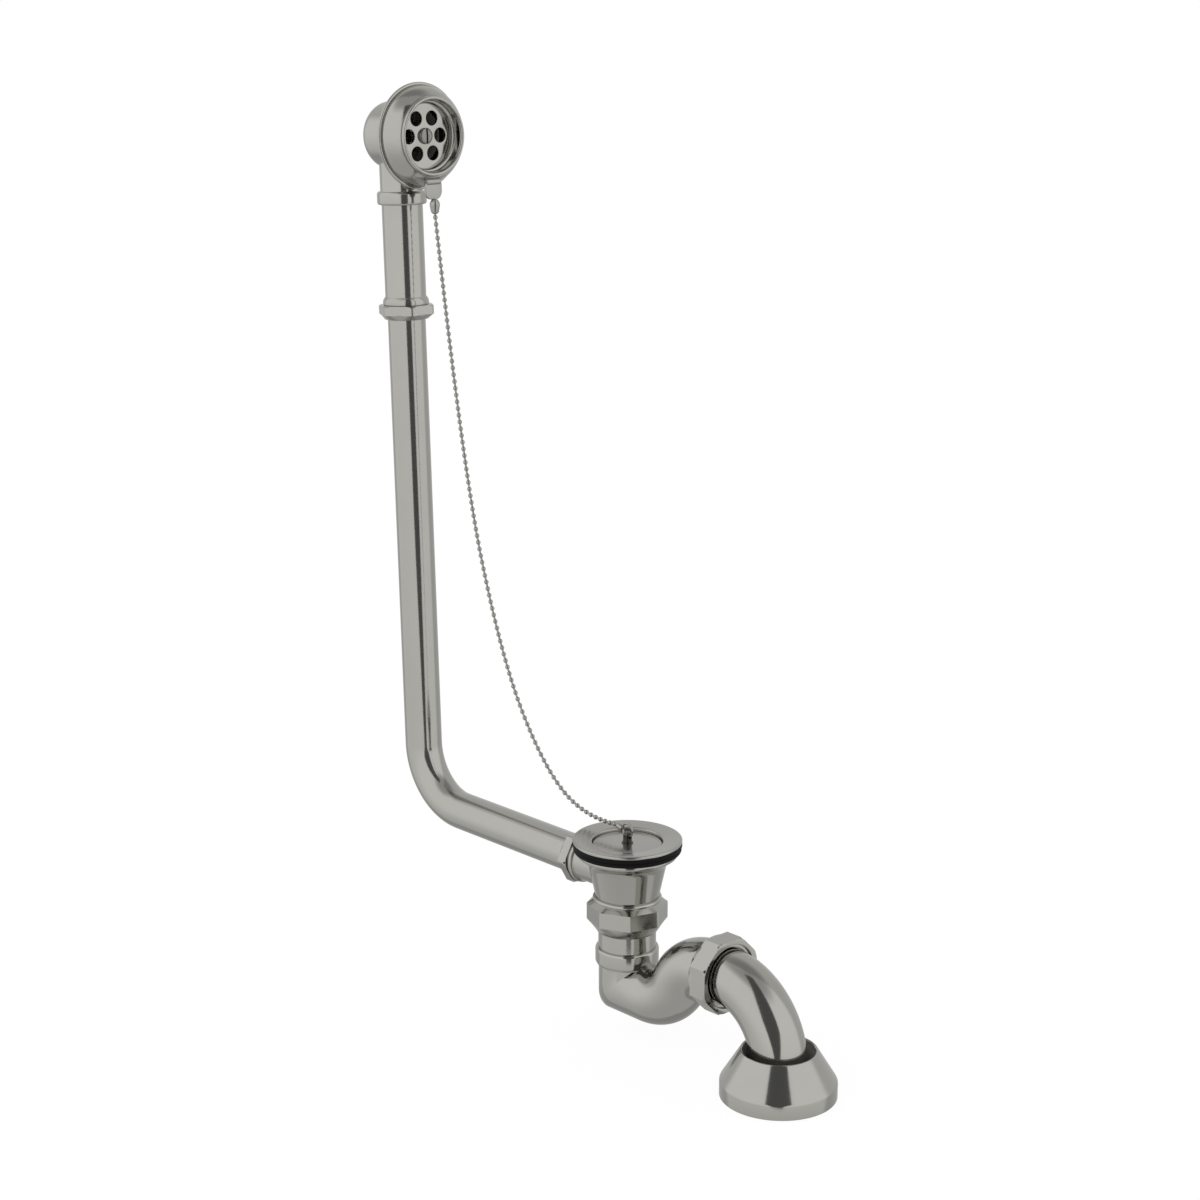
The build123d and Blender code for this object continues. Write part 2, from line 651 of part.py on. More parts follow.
with BuildPart() as bead_chain:
    with BuildLine() as chain_path:
        FilletPolyline(*route, radius=radii)
    chain_wire = chain_path.wires()[0]
    count = int(chain_wire.length / bead_pitch)
    print("chain length", round(chain_wire.length, 1), "beads", count)
    link_end = 0.06 / chain_wire.length
    spots = []
    for i in range(count):
        at = link_end + (1 - 2 * link_end) * (i + 0.5) / count
        spots.append(Plane(origin=chain_wire @ at, x_dir=(0, 1, 0), z_dir=chain_wire % at).location)
    with Locations(*spots):
        add(bead.part)
bead_chain.part.label = "bead_chain"
export_step(bead_chain.part, "parts/bead_chain.step")

# plug stud with its eye, the ring through it and the clasp at the chain's end
with BuildPart() as plug_stud:
    with BuildSketch(Plane.XZ) as sk:
        Polygon(
            (0, plug_top), (stud_r + 0.9, plug_top), (stud_r + 0.9, plug_top + 0.6), (stud_r, plug_top + 0.9),
            (stud_r, stud_top - 1.6), (stud_r - 1.2, stud_top), (0, stud_top), align=None)
    revolve(axis=Axis.Z)
    with BuildSketch(Plane(origin=(0, 0, eye_z + 0.75), x_dir=(0, 1, 0), z_dir=(1, 0, 0))):
        Circle(ring_wire + 0.95)
    extrude(amount=6, both=True, mode=Mode.SUBTRACT)
plug_stud.part.label = "plug_stud"
export_step(plug_stud.part, "parts/plug_stud.step")

with BuildPart() as plug_ring:
    with BuildSketch(Plane(origin=(ring_r, 0, ring_z), x_dir=(1, 0, 0), z_dir=(0, 0, 1))):
        Circle(ring_wire)
    revolve(axis=Axis((0, 0, ring_z), (0, 1, 0)))
plug_ring.part.label = "plug_ring"
export_step(plug_ring.part, "parts/plug_ring.step")

clasp_from = chain_wire @ 1
clasp_dir = (Vector(-ring_r, 0, ring_z) - clasp_from).normalized()
with BuildPart() as chain_clasp:
    with BuildSketch(Plane(origin=clasp_from, x_dir=clasp_dir, z_dir=(0, -1, 0))):
        Polygon((0, 0), (0, 1.0), (0.8, 1.9), (4.4, 2.1), (5.6, 1.6), (6.0, 0), align=None)
    revolve(axis=Axis(clasp_from, clasp_dir))
    add(plug_ring.part, mode=Mode.SUBTRACT)
chain_clasp.part.label = "chain_clasp"
export_step(chain_clasp.part, "parts/chain_clasp.step")
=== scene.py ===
"""Bath waste and overflow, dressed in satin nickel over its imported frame."""

import logging
from dataclasses import dataclass, field
from enum import Enum
from math import acos, cos, degrees, pi, prod, radians, sin
from typing import Callable, Iterable, Sequence

import bmesh
import bpy
from mathutils import Matrix, Vector


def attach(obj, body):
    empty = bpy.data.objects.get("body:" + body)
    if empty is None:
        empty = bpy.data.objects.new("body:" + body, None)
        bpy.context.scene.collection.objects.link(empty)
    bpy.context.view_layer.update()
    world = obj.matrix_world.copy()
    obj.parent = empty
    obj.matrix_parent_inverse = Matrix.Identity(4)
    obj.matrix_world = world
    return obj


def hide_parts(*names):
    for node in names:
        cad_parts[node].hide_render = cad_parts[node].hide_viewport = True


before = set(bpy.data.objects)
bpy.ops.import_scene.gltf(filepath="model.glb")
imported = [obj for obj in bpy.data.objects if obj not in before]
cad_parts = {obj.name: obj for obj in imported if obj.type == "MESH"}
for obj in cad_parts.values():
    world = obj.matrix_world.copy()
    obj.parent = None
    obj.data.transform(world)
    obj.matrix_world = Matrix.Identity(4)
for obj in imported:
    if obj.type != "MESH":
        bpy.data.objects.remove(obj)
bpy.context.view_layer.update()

log = logging.getLogger("bath_waste")
MM = 0.001
BODY = "root"
BUMP_DEEP = 0.0002
WELD = 1e-5
X, Y = (1, 0, 0), (0, 1, 0)

Point = tuple[float, ...]
Material, Node, Socket = bpy.types.Material, bpy.types.Node, bpy.types.NodeSocket


class Slot(Enum):
    """The record's material slots."""

    NICKEL = "nickel"
    CHAIN = "chain_metal"
    RUBBER = "rubber"


class Index(Enum):
    """Places in a dressed piece's list of materials."""

    SKIN = 0
    INSIDE = 1


def axes(origin: Sequence[float], x: Sequence[float], z: Sequence[float]) -> Matrix:
    """Make a local frame in millimetres.

    Args:
        origin: The frame's origin.
        x: Direction of its X axis.
        z: Direction of its Z axis, the axis that pieces are spun about.

    Returns:
        The matrix that carries local points into the row frame.
    """
    zv, xv = Vector(z).normalized(), Vector(x).normalized()
    yv = zv.cross(xv)
    m = Matrix((xv, yv, zv)).transposed().to_4x4()
    m.translation = Vector(origin)
    return m


@dataclass(frozen=True)
class Layout:
    """Shared places and sizes of the waste's pieces, in millimetres."""

    inlet_z: float = -21.9
    corner_x: float = -203.6
    lean: float = radians(1.85)
    head_up: float = 454.4
    out_z: float = -63.5
    out_x: float = 133.9
    floor_z: float = -127.8
    pipe_r: float = 12.6
    nut_slack: float = 0.25
    ring_r: float = 4.4
    ring_z: float = 7.6

    @property
    def up(self) -> Vector:
        """Direction up the leaning overflow pipe."""
        return Vector((-sin(self.lean), 0, cos(self.lean)))

    @property
    def out(self) -> Vector:
        """Direction out of the overflow's face."""
        return Vector((cos(self.lean), 0, sin(self.lean)))

    @property
    def corner(self) -> Vector:
        """Where the pipe's two runs would meet."""
        return Vector((self.corner_x, 0, self.inlet_z))

    @property
    def head(self) -> Vector:
        """Where the pipe's axis meets the overflow's axis."""
        return self.corner + self.up * self.head_up

    def waste(self) -> Matrix:
        """Frame of the waste axis."""
        return Matrix.Identity(4)

    def pipe(self) -> Matrix:
        """Frame standing on the pipe's corner, Z up the pipe."""
        return axes(self.corner, self.out, self.up)

    def face(self) -> Matrix:
        """Frame at the head, Z out of the face."""
        return axes(self.head, Y, self.out)

    def inlet(self) -> Matrix:
        """Frame of the side inlet, Z along +X."""
        return axes((0, 0, self.inlet_z), Y, X)

    def outlet(self) -> Matrix:
        """Frame of the trap's outlet, Z along +X."""
        return axes((0, 0, self.out_z), Y, X)

    def shroud(self) -> Matrix:
        """Frame on the floor under the outlet."""
        return Matrix.Translation((self.out_x, 0, self.floor_z))


LAY = Layout()


class Shell:
    """One piece's mesh while it is being modelled, in millimetres."""

    def __init__(self) -> None:
        """Start an empty mesh."""
        self.bm = bmesh.new()

    def _settle(self, before: set, index: Index, place: Matrix,
                shape: Callable[[Vector], None] | None = None) -> "Shell":
        """Turn fresh faces outwards, give them their material and move them into place.

        Args:
            before: The faces that were there already.
            index: Material of the fresh faces.
            place: Frame to put them in.
            shape: Moves each fresh vertex first, in the local frame.

        Returns:
            The shell.
        """
        fresh = [f for f in self.bm.faces if f not in before]
        bmesh.ops.recalc_face_normals(self.bm, faces=fresh)
        verts = list({v for f in fresh for v in f.verts})
        if shape:
            for v in verts:
                shape(v.co)
        for f in fresh:
            f.material_index = index.value
        bmesh.ops.transform(self.bm, matrix=place, verts=verts)
        return self

    def _round(self, geom: list, size: float, segments: int, affect: str = "EDGES") -> None:
        """Round some edges, or the corners of a flat face."""
        bmesh.ops.bevel(self.bm, geom=geom, offset=size, offset_type="OFFSET", segments=segments, profile=0.5,
                        affect=affect, material=-1)

    def _raise(self, back: list, height: float) -> list:
        """Extrude faces along Z and give the raised ones."""
        out = bmesh.ops.extrude_face_region(self.bm, geom=back)["geom"]
        front = [g for g in out if isinstance(g, bmesh.types.BMFace)]
        bmesh.ops.translate(self.bm, verts=list({v for f in front for v in f.verts}), vec=(0, 0, height))
        return front

    def spin(self, profile: Sequence[Point], place: Matrix, steps: int = 128, index: Index = Index.SKIN,
             segments: int = 5, cuts: dict[int, int] | None = None,
             shape: Callable[[Vector], None] | None = None) -> "Shell":
        """Turn a closed profile round the local Z axis.

        Args:
            profile: Corners as (radius, height) or (radius, height, rounding).
            place: Frame to put the turned shape in.
            steps: Facets round the axis.
            index: Material slot of the faces.
            segments: Facets of each rounded corner.
            cuts: Extra rings on the side that starts at each numbered corner.
            shape: Moves each turned vertex, in the local frame.

        Returns:
            The shell.
        """
        bm = self.bm
        before = set(bm.faces)
        verts = [bm.verts.new((p[0], 0, p[1])) for p in profile]
        plate = bm.faces.new(verts)
        sides = list(plate.edges)
        n = len(profile)
        split = [(e, cuts[i]) for i in (cuts or {}) for e in sides
                 if set(e.verts) == {verts[i], verts[(i + 1) % n]}]
        for r in sorted({p[2] for p in profile if len(p) > 2}):
            corners = [v for v, p in zip(verts, profile) if len(p) > 2 and p[2] == r]
            self._round(corners, r, segments, "VERTICES")
        for e, k in split:
            if e.is_valid:
                bmesh.ops.subdivide_edges(bm, edges=[e], cuts=k)
        plate = next(f for f in bm.faces if f not in before)
        loop = list(plate.edges)
        bmesh.ops.delete(bm, geom=[plate], context="FACES_ONLY")
        rim = list({v for e in loop for v in e.verts})
        bmesh.ops.spin(bm, geom=loop + rim, cent=(0, 0, 0), axis=(0, 0, 1), angle=2 * pi, steps=steps,
                       use_merge=True, use_duplicate=False)
        verts = list({v for f in bm.faces if f not in before for v in f.verts})
        bmesh.ops.remove_doubles(bm, verts=verts, dist=WELD)
        return self._settle(before, index, place, shape)

    def tube(self, outer: float, inner: float, start: Matrix, moves: Sequence[tuple], steps: int = 96) -> "Shell":
        """Run a round tube through straight lengths and turns.

        Args:
            outer: Outside radius.
            inner: Bore radius.
            start: Frame of the first end, Z along the tube.
            moves: ("run", length), ("turn", radius, axis, degrees) or ("mitre", length, axis, rounding), each axis
                lying across the tube.
            steps: Facets round the tube.

        Returns:
            The shell.
        """
        bm = self.bm
        before = set(bm.faces)
        walls, creases = [], []
        for r in (outer, inner):
            ring = bmesh.ops.create_circle(bm, cap_ends=False, segments=steps, radius=r, matrix=start)["verts"]
            first = list({e for v in ring for e in v.link_edges})
            place, loop = start.copy(), first
            for move in moves:
                ahead = place.to_3x3() @ Vector((0, 0, 1))
                if move[0] == "turn":
                    _, radius, axis, angle = move
                    centre = place.translation + Vector(axis).cross(ahead).normalized() * radius
                    count = max(6, int(abs(angle) / 2.5))
                    out = bmesh.ops.spin(bm, geom=loop + list({v for e in loop for v in e.verts}), cent=centre,
                                         axis=axis, angle=radians(angle), steps=count, use_merge=False,
                                         use_duplicate=False)["geom_last"]
                    loop = [g for g in out if isinstance(g, bmesh.types.BMEdge)]
                    place = (Matrix.Translation(centre) @ Matrix.Rotation(radians(angle), 4, axis)
                             @ Matrix.Translation(-centre) @ place)
                    continue
                goal = place.translation + ahead * move[1]
                flat = ahead
                if move[0] == "mitre":
                    swing = Matrix.Rotation(pi / 2, 4, move[2])
                    flat = (ahead + swing.to_3x3() @ ahead).normalized()
                out = bmesh.ops.extrude_edge_only(bm, edges=loop)["geom"]
                loop = [g for g in out if isinstance(g, bmesh.types.BMEdge)]
                for v in (g for g in out if isinstance(g, bmesh.types.BMVert)):
                    v.co += ahead * ((goal - v.co).dot(flat) / ahead.dot(flat))
                if move[0] == "mitre":
                    place = swing @ place
                    away = ahead - swing.to_3x3() @ ahead
                    creases += [(e, move[3]) for e in loop
                                if r == outer and ((e.verts[0].co + e.verts[1].co) / 2 - goal).dot(away) > 0.3 * r]
                place.translation = goal
            walls.append((first, loop))
        for end in (0, 1):
            bmesh.ops.bridge_loops(bm, edges=walls[0][end] + walls[1][end])
        for size in sorted({c[1] for c in creases}):
            self._round([e for e, k in creases if k == size], size, 8)
        return self._settle(before, Index.SKIN, Matrix.Identity(4))

    def slot(self, half: float, floor: float, place: Matrix) -> "Shell":
        """Cut a screwdriver slot along local Y, then put the piece in place.

        Args:
            half: Half the slot's width.
            floor: Height of the slot's floor.
            place: Frame to put the piece in.

        Returns:
            The shell.
        """
        bm = self.bm
        for x in (-half, 0.05 - half, half - 0.05, half):
            bmesh.ops.bisect_plane(bm, geom=bm.verts[:] + bm.edges[:] + bm.faces[:], dist=WELD, plane_co=(x, 0, 0),
                                   plane_no=X)
        for v in bm.verts:
            if abs(v.co.x) < half - 0.04:
                v.co.z = min(v.co.z, floor)
        bmesh.ops.transform(bm, matrix=place, verts=bm.verts[:])
        return self

    def pierced(self, radius: float, low: float, high: float, holes: Iterable[tuple[float, float, float]],
                place: Matrix, chamfer: float = 0.35) -> "Shell":
        """Make a round plate with holes through it.

        Args:
            radius: The plate's radius.
            low: Height of its back.
            high: Height of its front.
            holes: Each hole's x, y and radius.
            place: Frame to put the plate in.
            chamfer: Rounding of the holes' front edges.

        Returns:
            The shell.
        """
        bm = self.bm
        before = set(bm.faces)
        rings = [(0.0, 0.0, radius, 128)] + [(x, y, r, 48) for x, y, r in holes]
        edges: list = []
        for x, y, r, count in rings:
            ring = bmesh.ops.create_circle(bm, cap_ends=False, segments=count, radius=r,
                                           matrix=Matrix.Translation((x, y, low)))["verts"]
            edges += list({e for v in ring for e in v.link_edges})
        bmesh.ops.triangle_fill(bm, use_beauty=True, use_dissolve=False, edges=edges, normal=(0, 0, 1))
        back = [f for f in bm.faces if f not in before]
        front = self._raise(back, high - low)
        rim = [e for f in front for e in f.edges if any(g not in front for g in e.link_faces)
               and (e.verts[0].co.xy.length < radius - 1e-3)]
        self._round(list(set(rim)), chamfer, 3)
        return self._settle(before, Index.SKIN, place)

    def plate(self, outline: Sequence[Point], low: float, high: float, place: Matrix, rounding: float,
              edge: float) -> "Shell":
        """Make a flat plate from its outline.

        Args:
            outline: Corners as (x, y).
            low: Height of its back.
            high: Height of its front.
            place: Frame to put it in.
            rounding: Radius of the outline's corners.
            edge: Rounding of its long edges.

        Returns:
            The shell.
        """
        bm = self.bm
        before = set(bm.faces)
        verts = [bm.verts.new((x, y, low)) for x, y in outline]
        bm.faces.new(verts)
        self._round(verts, rounding, 4, "VERTICES")
        back = [f for f in bm.faces if f not in before]
        front = self._raise(back, high - low)
        self._round(list({e for f in front + back for e in f.edges if f.is_valid}), edge, 3)
        return self._settle(before, Index.SKIN, place)

    def done(self, name: str, nodes: Sequence[str], skins: Sequence[Material],
             slot: Slot = Slot.NICKEL, sharp: float = 32.0) -> bpy.types.Object:
        """Turn the mesh into a piece that stands for its nodes.

        Args:
            name: The piece's name.
            nodes: CAD nodes that it replaces.
            skins: Materials, in the order of Index.
            slot: A material slot name; not used.
            sharp: Angle in degrees past which an edge stays crisp.

        Returns:
            The piece.
        """
        bmesh.ops.scale(self.bm, vec=(MM, MM, MM), verts=self.bm.verts[:])
        mesh = bpy.data.meshes.new(name)
        self.bm.to_mesh(mesh)
        self.bm.free()
        mesh.shade_smooth()
        mesh.set_sharp_from_angle(angle=radians(sharp))
        obj = bpy.data.objects.new(name, mesh)
        bpy.context.scene.collection.objects.link(obj)
        for skin in skins:
            mesh.materials.append(skin)
        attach(obj, BODY)
        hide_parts(*nodes)
        log.info("%s: %d faces", name, len(mesh.polygons))
        return obj


def flats(across_corners: float, sides: int, phase: float = 0.0) -> Callable[[Vector], None]:
    """Make the cut that gives a turned blank its spanner flats.

    Args:
        across_corners: The nut's size over its corners.
        sides: How many flats.
        phase: Direction of one flat's middle, in degrees.

    Returns:
        A function that moves a vertex in to the nearest flat.
    """
    apothem, wedge = across_corners / 2 * cos(pi / sides), 2 * pi / sides

    def cut(co: Vector) -> None:
        """Move one vertex in to its flat."""
        r = co.xy.length
        if r < 1e-6:
            return
        turn = (Vector((1, 0)).angle_signed(co.xy) * -1 - radians(phase)) % wedge
        turn = min(turn, wedge - turn)
        limit = apothem / cos(turn)
        if r > limit:
            co.x *= limit / r
            co.y *= limit / r

    return cut


def through(points: Sequence[Point], count: int) -> list[Point]:
    """Read a smooth profile line off the curve through a few points.

    Args:
        points: The few (radius, height) points.
        count: How many points to give back.

    Returns:
        Points along the curve, both ends among them.
    """
    heights = [p[1] for p in points]
    spots = [heights[0] + (heights[-1] - heights[0]) * k / (count - 1) for k in range(count)]
    return [(sum(r * prod((h - q) / (own - q) for q in heights if q != own) for r, own in points), h)
            for h in spots]


def ring(inner: float, outer: float, low: float, high: float) -> list[Point]:
    """Profile of a plain ring."""
    return [(inner, low), (outer, low), (outer, high), (inner, high)]


@dataclass(frozen=True)
class Wire:
    """Small helper that adds and links shader nodes."""

    tree: bpy.types.NodeTree

    def set(self, node: Node, **values: object) -> None:
        """Set a node's attributes and inputs by name, and link inputs that are given a socket.

        Args:
            node: The node.
            **values: What to set, with _ for a space in an input's name.
        """
        for key, value in values.items():
            if hasattr(node, key):
                setattr(node, key, value)
            elif isinstance(value, Socket):
                self.join(value, node.inputs[key.replace("_", " ")])
            else:
                node.inputs[key.replace("_", " ")].default_value = value

    def add(self, kind: str, **values: object) -> Node:
        """Add a node and set it up.

        Args:
            kind: The node's type.
            **values: What to set on it.

        Returns:
            The node.
        """
        node = self.tree.nodes.new(kind)
        self.set(node, **values)
        return node

    def join(self, a: Socket, b: Socket) -> None:
        """Link an output to an input."""
        self.tree.links.new(a, b)

    def noise(self, **values: float) -> Socket:
        """Add noise on the object's own coordinates."""
        coord = self.add("ShaderNodeTexCoord").outputs["Object"]
        return self.add("ShaderNodeTexNoise", Vector=coord, **values).outputs["Fac"]

    def tint(self, drift: Socket, first: Point, last: Point) -> Socket:
        """Let a colour drift between two shades."""
        mix = self.add("ShaderNodeMix", data_type="RGBA", Factor=drift, A=(*first, 1), B=(*last, 1))
        return mix.outputs["Result"]

    def ramp(self, source: Socket, span: Point, ends: Point, **values: str) -> Socket:
        """Map a value's span on to new ends."""
        return self.add("ShaderNodeMapRange", Value=source, From_Min=span[0], From_Max=span[1], To_Min=ends[0],
                        To_Max=ends[1], **values).outputs["Result"]

    def bump(self, height: Socket, strength: float) -> Socket:
        """Roughen a surface with a fine grain."""
        return self.add("ShaderNodeBump", Height=height, Strength=strength, Distance=BUMP_DEEP).outputs["Normal"]

    def math(self, operation: str, *terms: Socket | float) -> Socket:
        """Work out a sum.

        Args:
            operation: The node's operation.
            *terms: Its terms, linked or constant.

        Returns:
            The result.
        """
        node = self.add("ShaderNodeMath", operation=operation)
        for term, goal in zip(terms, node.inputs):
            if isinstance(term, Socket):
                self.join(term, goal)
            else:
                goal.default_value = term
        return node.outputs[0]

    def blend(self, share: Socket, first: Node, last: Node) -> Socket:
        """Mix two shaders.

        Args:
            share: How much of the last one shows.
            first: The one shader.
            last: The other.

        Returns:
            The mixed shader.
        """
        mix = self.add("ShaderNodeMixShader", Fac=share)
        for shader, goal in zip((first, last), mix.inputs[1:]):
            self.join(shader.outputs[0], goal)
        return mix.outputs[0]


def started(name: str) -> tuple[Material, Wire, Node]:
    """Start a node material.

    Args:
        name: Its name.

    Returns:
        The material, its wiring and its shader.
    """
    mat = bpy.data.materials.new(name)
    mat.use_nodes = True
    return mat, Wire(mat.node_tree), mat.node_tree.nodes["Principled BSDF"]


@dataclass(frozen=True)
class SatinNickel:
    """Satin nickel plate: fine brushed grain and slow cloudiness."""

    name: str = "satin_nickel"
    light: Point = (0.470, 0.464, 0.432)
    dark: Point = (0.430, 0.425, 0.395)
    smooth: float = 0.11
    rough: float = 0.15
    grain: float = 900.0
    bump: float = 0.006

    def make(self) -> Material:
        """Build the node material."""
        mat, w, shader = started(self.name)
        cloud = w.noise(Scale=38.0, Detail=5.0, Roughness=0.6)
        fine = w.noise(Scale=self.grain, Detail=3.0, Roughness=0.7)
        w.set(shader, Metallic=1.0, Base_Color=w.tint(cloud, self.dark, self.light),
              Roughness=w.ramp(fine, (0.3, 0.7), (self.smooth, self.rough)), Normal=w.bump(fine, self.bump))
        return mat


@dataclass(frozen=True)
class BlackRubber:
    """Moulded black rubber with a dusty bloom."""

    name: str = "black_rubber"
    deep: Point = (0.003, 0.003, 0.003)
    bloom: Point = (0.008, 0.008, 0.008)
    sheen: float = 0.12
    gloss: Point = (0.45, 0.65)
    bump: float = 0.15

    def make(self) -> Material:
        """Build the node material."""
        mat, w, shader = started(self.name)
        dust = w.noise(Scale=160.0, Detail=6.0, Roughness=0.65)
        w.set(shader, Specular_IOR_Level=self.sheen, Base_Color=w.tint(dust, self.deep, self.bloom),
              Roughness=w.ramp(dust, (0.0, 1.0), self.gloss), Normal=w.bump(dust, self.bump))
        return mat


@dataclass(frozen=True)
class DarkBore:
    """Dark grey matte lining: painted shade for the inside of a casting."""

    name: str = "painted_shade_bore"
    # two shades of painted shade, mixed by noise
    deep: Point = (0.20, 0.198, 0.188)
    paler_shade: Point = (0.32, 0.316, 0.30)
    sheen: float = 0.15
    rough: float = 0.8

    def make(self) -> Material:
        """Build the node material."""
        mat, w, shader = started(self.name)
        w.set(shader, Specular_IOR_Level=self.sheen, Roughness=self.rough,
              Base_Color=w.tint(w.noise(Scale=90.0, Detail=5.0), self.deep, self.paler_shade))
        return mat


@dataclass(frozen=True)
class Finishes:
    """The finishes shared by all pieces."""

    nickel: Material
    satin: Material
    screw: Material
    chain: Material
    dark: Material
    rubber: Material
    bore: Material

    @classmethod
    def make(cls) -> "Finishes":
        """Build every material once."""
        return cls(
            nickel=SatinNickel().make(),
            satin=SatinNickel(name="brushed_nickel", smooth=0.21, rough=0.25, bump=0.004).make(),
            screw=SatinNickel(name="worn_nickel", light=(0.32, 0.315, 0.295), dark=(0.25, 0.246, 0.23),
                              smooth=0.2, rough=0.3).make(),
            chain=SatinNickel(name="chain_nickel", light=(0.44, 0.435, 0.41), dark=(0.36, 0.355, 0.335),
                              smooth=0.16, rough=0.24, grain=1800.0).make(),
            # painted shade: near-black nickel for the plug stud, standing in for the shade of its hole and the dark
            # reflections on it
            dark=SatinNickel(name="painted_shade_nickel", light=(0.13, 0.126, 0.117), dark=(0.085, 0.082, 0.076),
                             smooth=0.22, rough=0.3, grain=1800.0).make(),
            rubber=BlackRubber().make(),
            bore=DarkBore().make())


@dataclass
class Waste:
    """Flange, plug, gasket and body at the bath's drain."""

    finish: Finishes
    flange_r: float = 35.0
    flange_t: float = 2.2
    bowl_r: float = 22.6
    bowl_deep: float = 4.0
    bowl_wall: float = 1.5
    tail_r: float = 19.5
    tail_wall: float = 2.0
    tail_long: float = 24.0
    grid_half: float = 1.5
    grid_t: float = 2.5
    hub_r: float = 5.5
    plug_seal_t: float = 1.4
    plug_t: float = 1.7
    plug_boss_r: float = 8.0
    ring_wire: float = 0.75
    gasket_t: float = 5.8
    rim_r: float = 32.4
    rim_t: float = 2.4
    neck_drop: float = 5.0
    body_top_r: float = 25.0
    body_low_r: float = 20.5
    body_low_z: float = -36.0
    thread_r: float = 20.0
    thread_wall: float = 2.6
    thread_long: float = 13.2
    inlet_r: float = 14.05
    inlet_end: float = -46.0
    inlet_root: float = -16.0
    inlet_nut_across: float = 35.8
    nut_behind: float = 3.5
    nut_over: float = 5.2
    nut_web: float = 1.7

    def build(self) -> None:
        """Build the waste's pieces."""
        self.flange()
        self.gasket()
        self.body()
        self.plug()
        self.inlet_nut()

    def flange(self) -> None:
        """Dished flange with its plug bowl, tail and cross grid."""
        t, r, b, deep = self.flange_t, self.flange_r, self.bowl_r, -self.bowl_deep
        wall, tail, bore = b + self.bowl_wall, self.tail_r, self.tail_r - self.tail_wall
        low = deep - self.bowl_wall
        foot = low - self.tail_long
        shell = Shell().spin(
            [(bore, foot), (tail, foot), (tail, low), (wall, low), (wall, 0), (r - 0.3, 0), (r, 0.4, 0.3),
             (r, t - 0.4, 0.4), (r - 0.7, t, 0.5), (r - 1.6, t, 0.4), (b + 0.9, t - 1.0, 0.5), (b, t - 1.8, 0.3),
             (b, deep), (bore, deep)],
            LAY.waste(), steps=192)
        reach, half, under = bore + 0.4, self.grid_half, deep - self.grid_t
        quarter = [(reach, half), (half, half), (half, reach), (-half, reach), (-half, half), (-reach, half)]
        cross = quarter + [(-x, -y) for x, y in quarter]
        shell.plate(cross, under, deep, LAY.waste(), 0.2, 0.15)
        shell.spin(ring(0, self.hub_r, under, deep), LAY.waste(), steps=48)
        shell.done("waste_flange_skin", ["waste_flange"], [self.finish.satin])

    def gasket(self) -> None:
        """Rubber ring with a groove round its edge."""
        r, t, b = self.flange_r, self.gasket_t, self.bowl_r + self.bowl_wall
        Shell().spin(
            [(b, 0), (r - 0.3, 0, 0.2), (r, -0.4, 0.3), (r, -t * 0.42, 0.3), (r - 0.9, -t * 0.5, 0.2),
             (r - 0.4, -t * 0.58, 0.3), (r - 0.4, -t + 0.7, 0.5), (r - 1.1, -t, 0.4), (b, -t)],
            LAY.waste(), steps=160).done("waste_gasket_skin", ["waste_gasket"], [self.finish.rubber], Slot.RUBBER)

    def body(self) -> None:
        """Tapered body with its rim and the side inlet."""
        g, low, rim, thread = -self.gasket_t, self.body_low_z, self.rim_r, self.thread_r
        bore, under, foot = thread - self.thread_wall, g - self.rim_t, low - self.thread_long
        shell = Shell().spin(
            [(self.tail_r, g), (rim, g, 0.5), (rim, under, 0.9), (self.body_top_r + 0.4, under - self.neck_drop, 3.0),
             (self.body_low_r, low), (thread, low), (thread, foot), (bore, foot), (bore, low - 2),
             (self.tail_r, low + 2)],
            LAY.waste(), steps=128)
        r, end, p, root = self.inlet_r, self.inlet_end, LAY.pipe_r, self.inlet_root
        at = end + self.nut_over
        shell.spin(
            [(p, end), (r - 0.3, end), (r - 0.3, at), (r, at, 0.1), (r, at + 1.0, 0.3), (r + 1.8, at + 1.4, 0.7),
             (r + 1.8, at + 3.8, 0.8), (r, at + 4.2, 0.5), (r, root), (p, root)],
            LAY.inlet(), steps=112)
        shell.done("waste_body_skin", ["waste_body"], [self.finish.nickel])

    def plug(self) -> None:
        """Plug disc, its seal and its ring."""
        b, deep, boss = self.bowl_r, -self.bowl_deep, self.plug_boss_r
        low = self.plug_seal_t + deep
        t = low + self.plug_t
        Shell().spin(
            [(0, deep), (boss, deep), (boss, low), (b - 0.4, low), (b - 0.4, t - 0.4, 0.2), (b - 0.9, t, 0.3),
             (0, t)],
            LAY.waste(), steps=160).done("plug_skin", ["plug"], [self.finish.satin])
        Shell().spin(
            [(boss, deep), (b - 1.6, deep, 0.4), (b - 1.0, low - 0.4, 0.3), (b - 1.0, low), (boss, low)],
            LAY.waste(), steps=96).done("plug_seal_skin", ["plug_seal"], [self.finish.rubber], Slot.RUBBER)
        wire = self.ring_wire
        Shell().spin(
            [(LAY.ring_r + wire * cos(k * pi / 8), wire * sin(k * pi / 8)) for k in range(16)],
            axes((0, 0, LAY.ring_z), X, Y), steps=72).done(
                "plug_ring_skin", ["plug_ring"], [self.finish.chain], Slot.CHAIN, sharp=60)

    def inlet_nut(self) -> None:
        """Six-sided nut on the side inlet."""
        bore, p, turned = self.inlet_r - 0.3, LAY.pipe_r, self.inlet_nut_across / 2 - 0.4
        back, front = self.inlet_end - self.nut_behind, self.inlet_end + self.nut_over
        hole, web = p + LAY.nut_slack, back + self.nut_web
        Shell().spin(
            [(hole, back), (p + 1.2, back, 0.3), (turned, back + 2.2), (turned, front - 1.0),
             (turned - 1.2, front, 0.2), (bore, front), (bore, web), (hole, web)],
            LAY.inlet(), steps=144, cuts={1: 16, 2: 6, 3: 8}, shape=flats(self.inlet_nut_across, 6, 30)).done(
                "inlet_nut_skin", ["inlet_nut"], [self.finish.nickel], sharp=34)


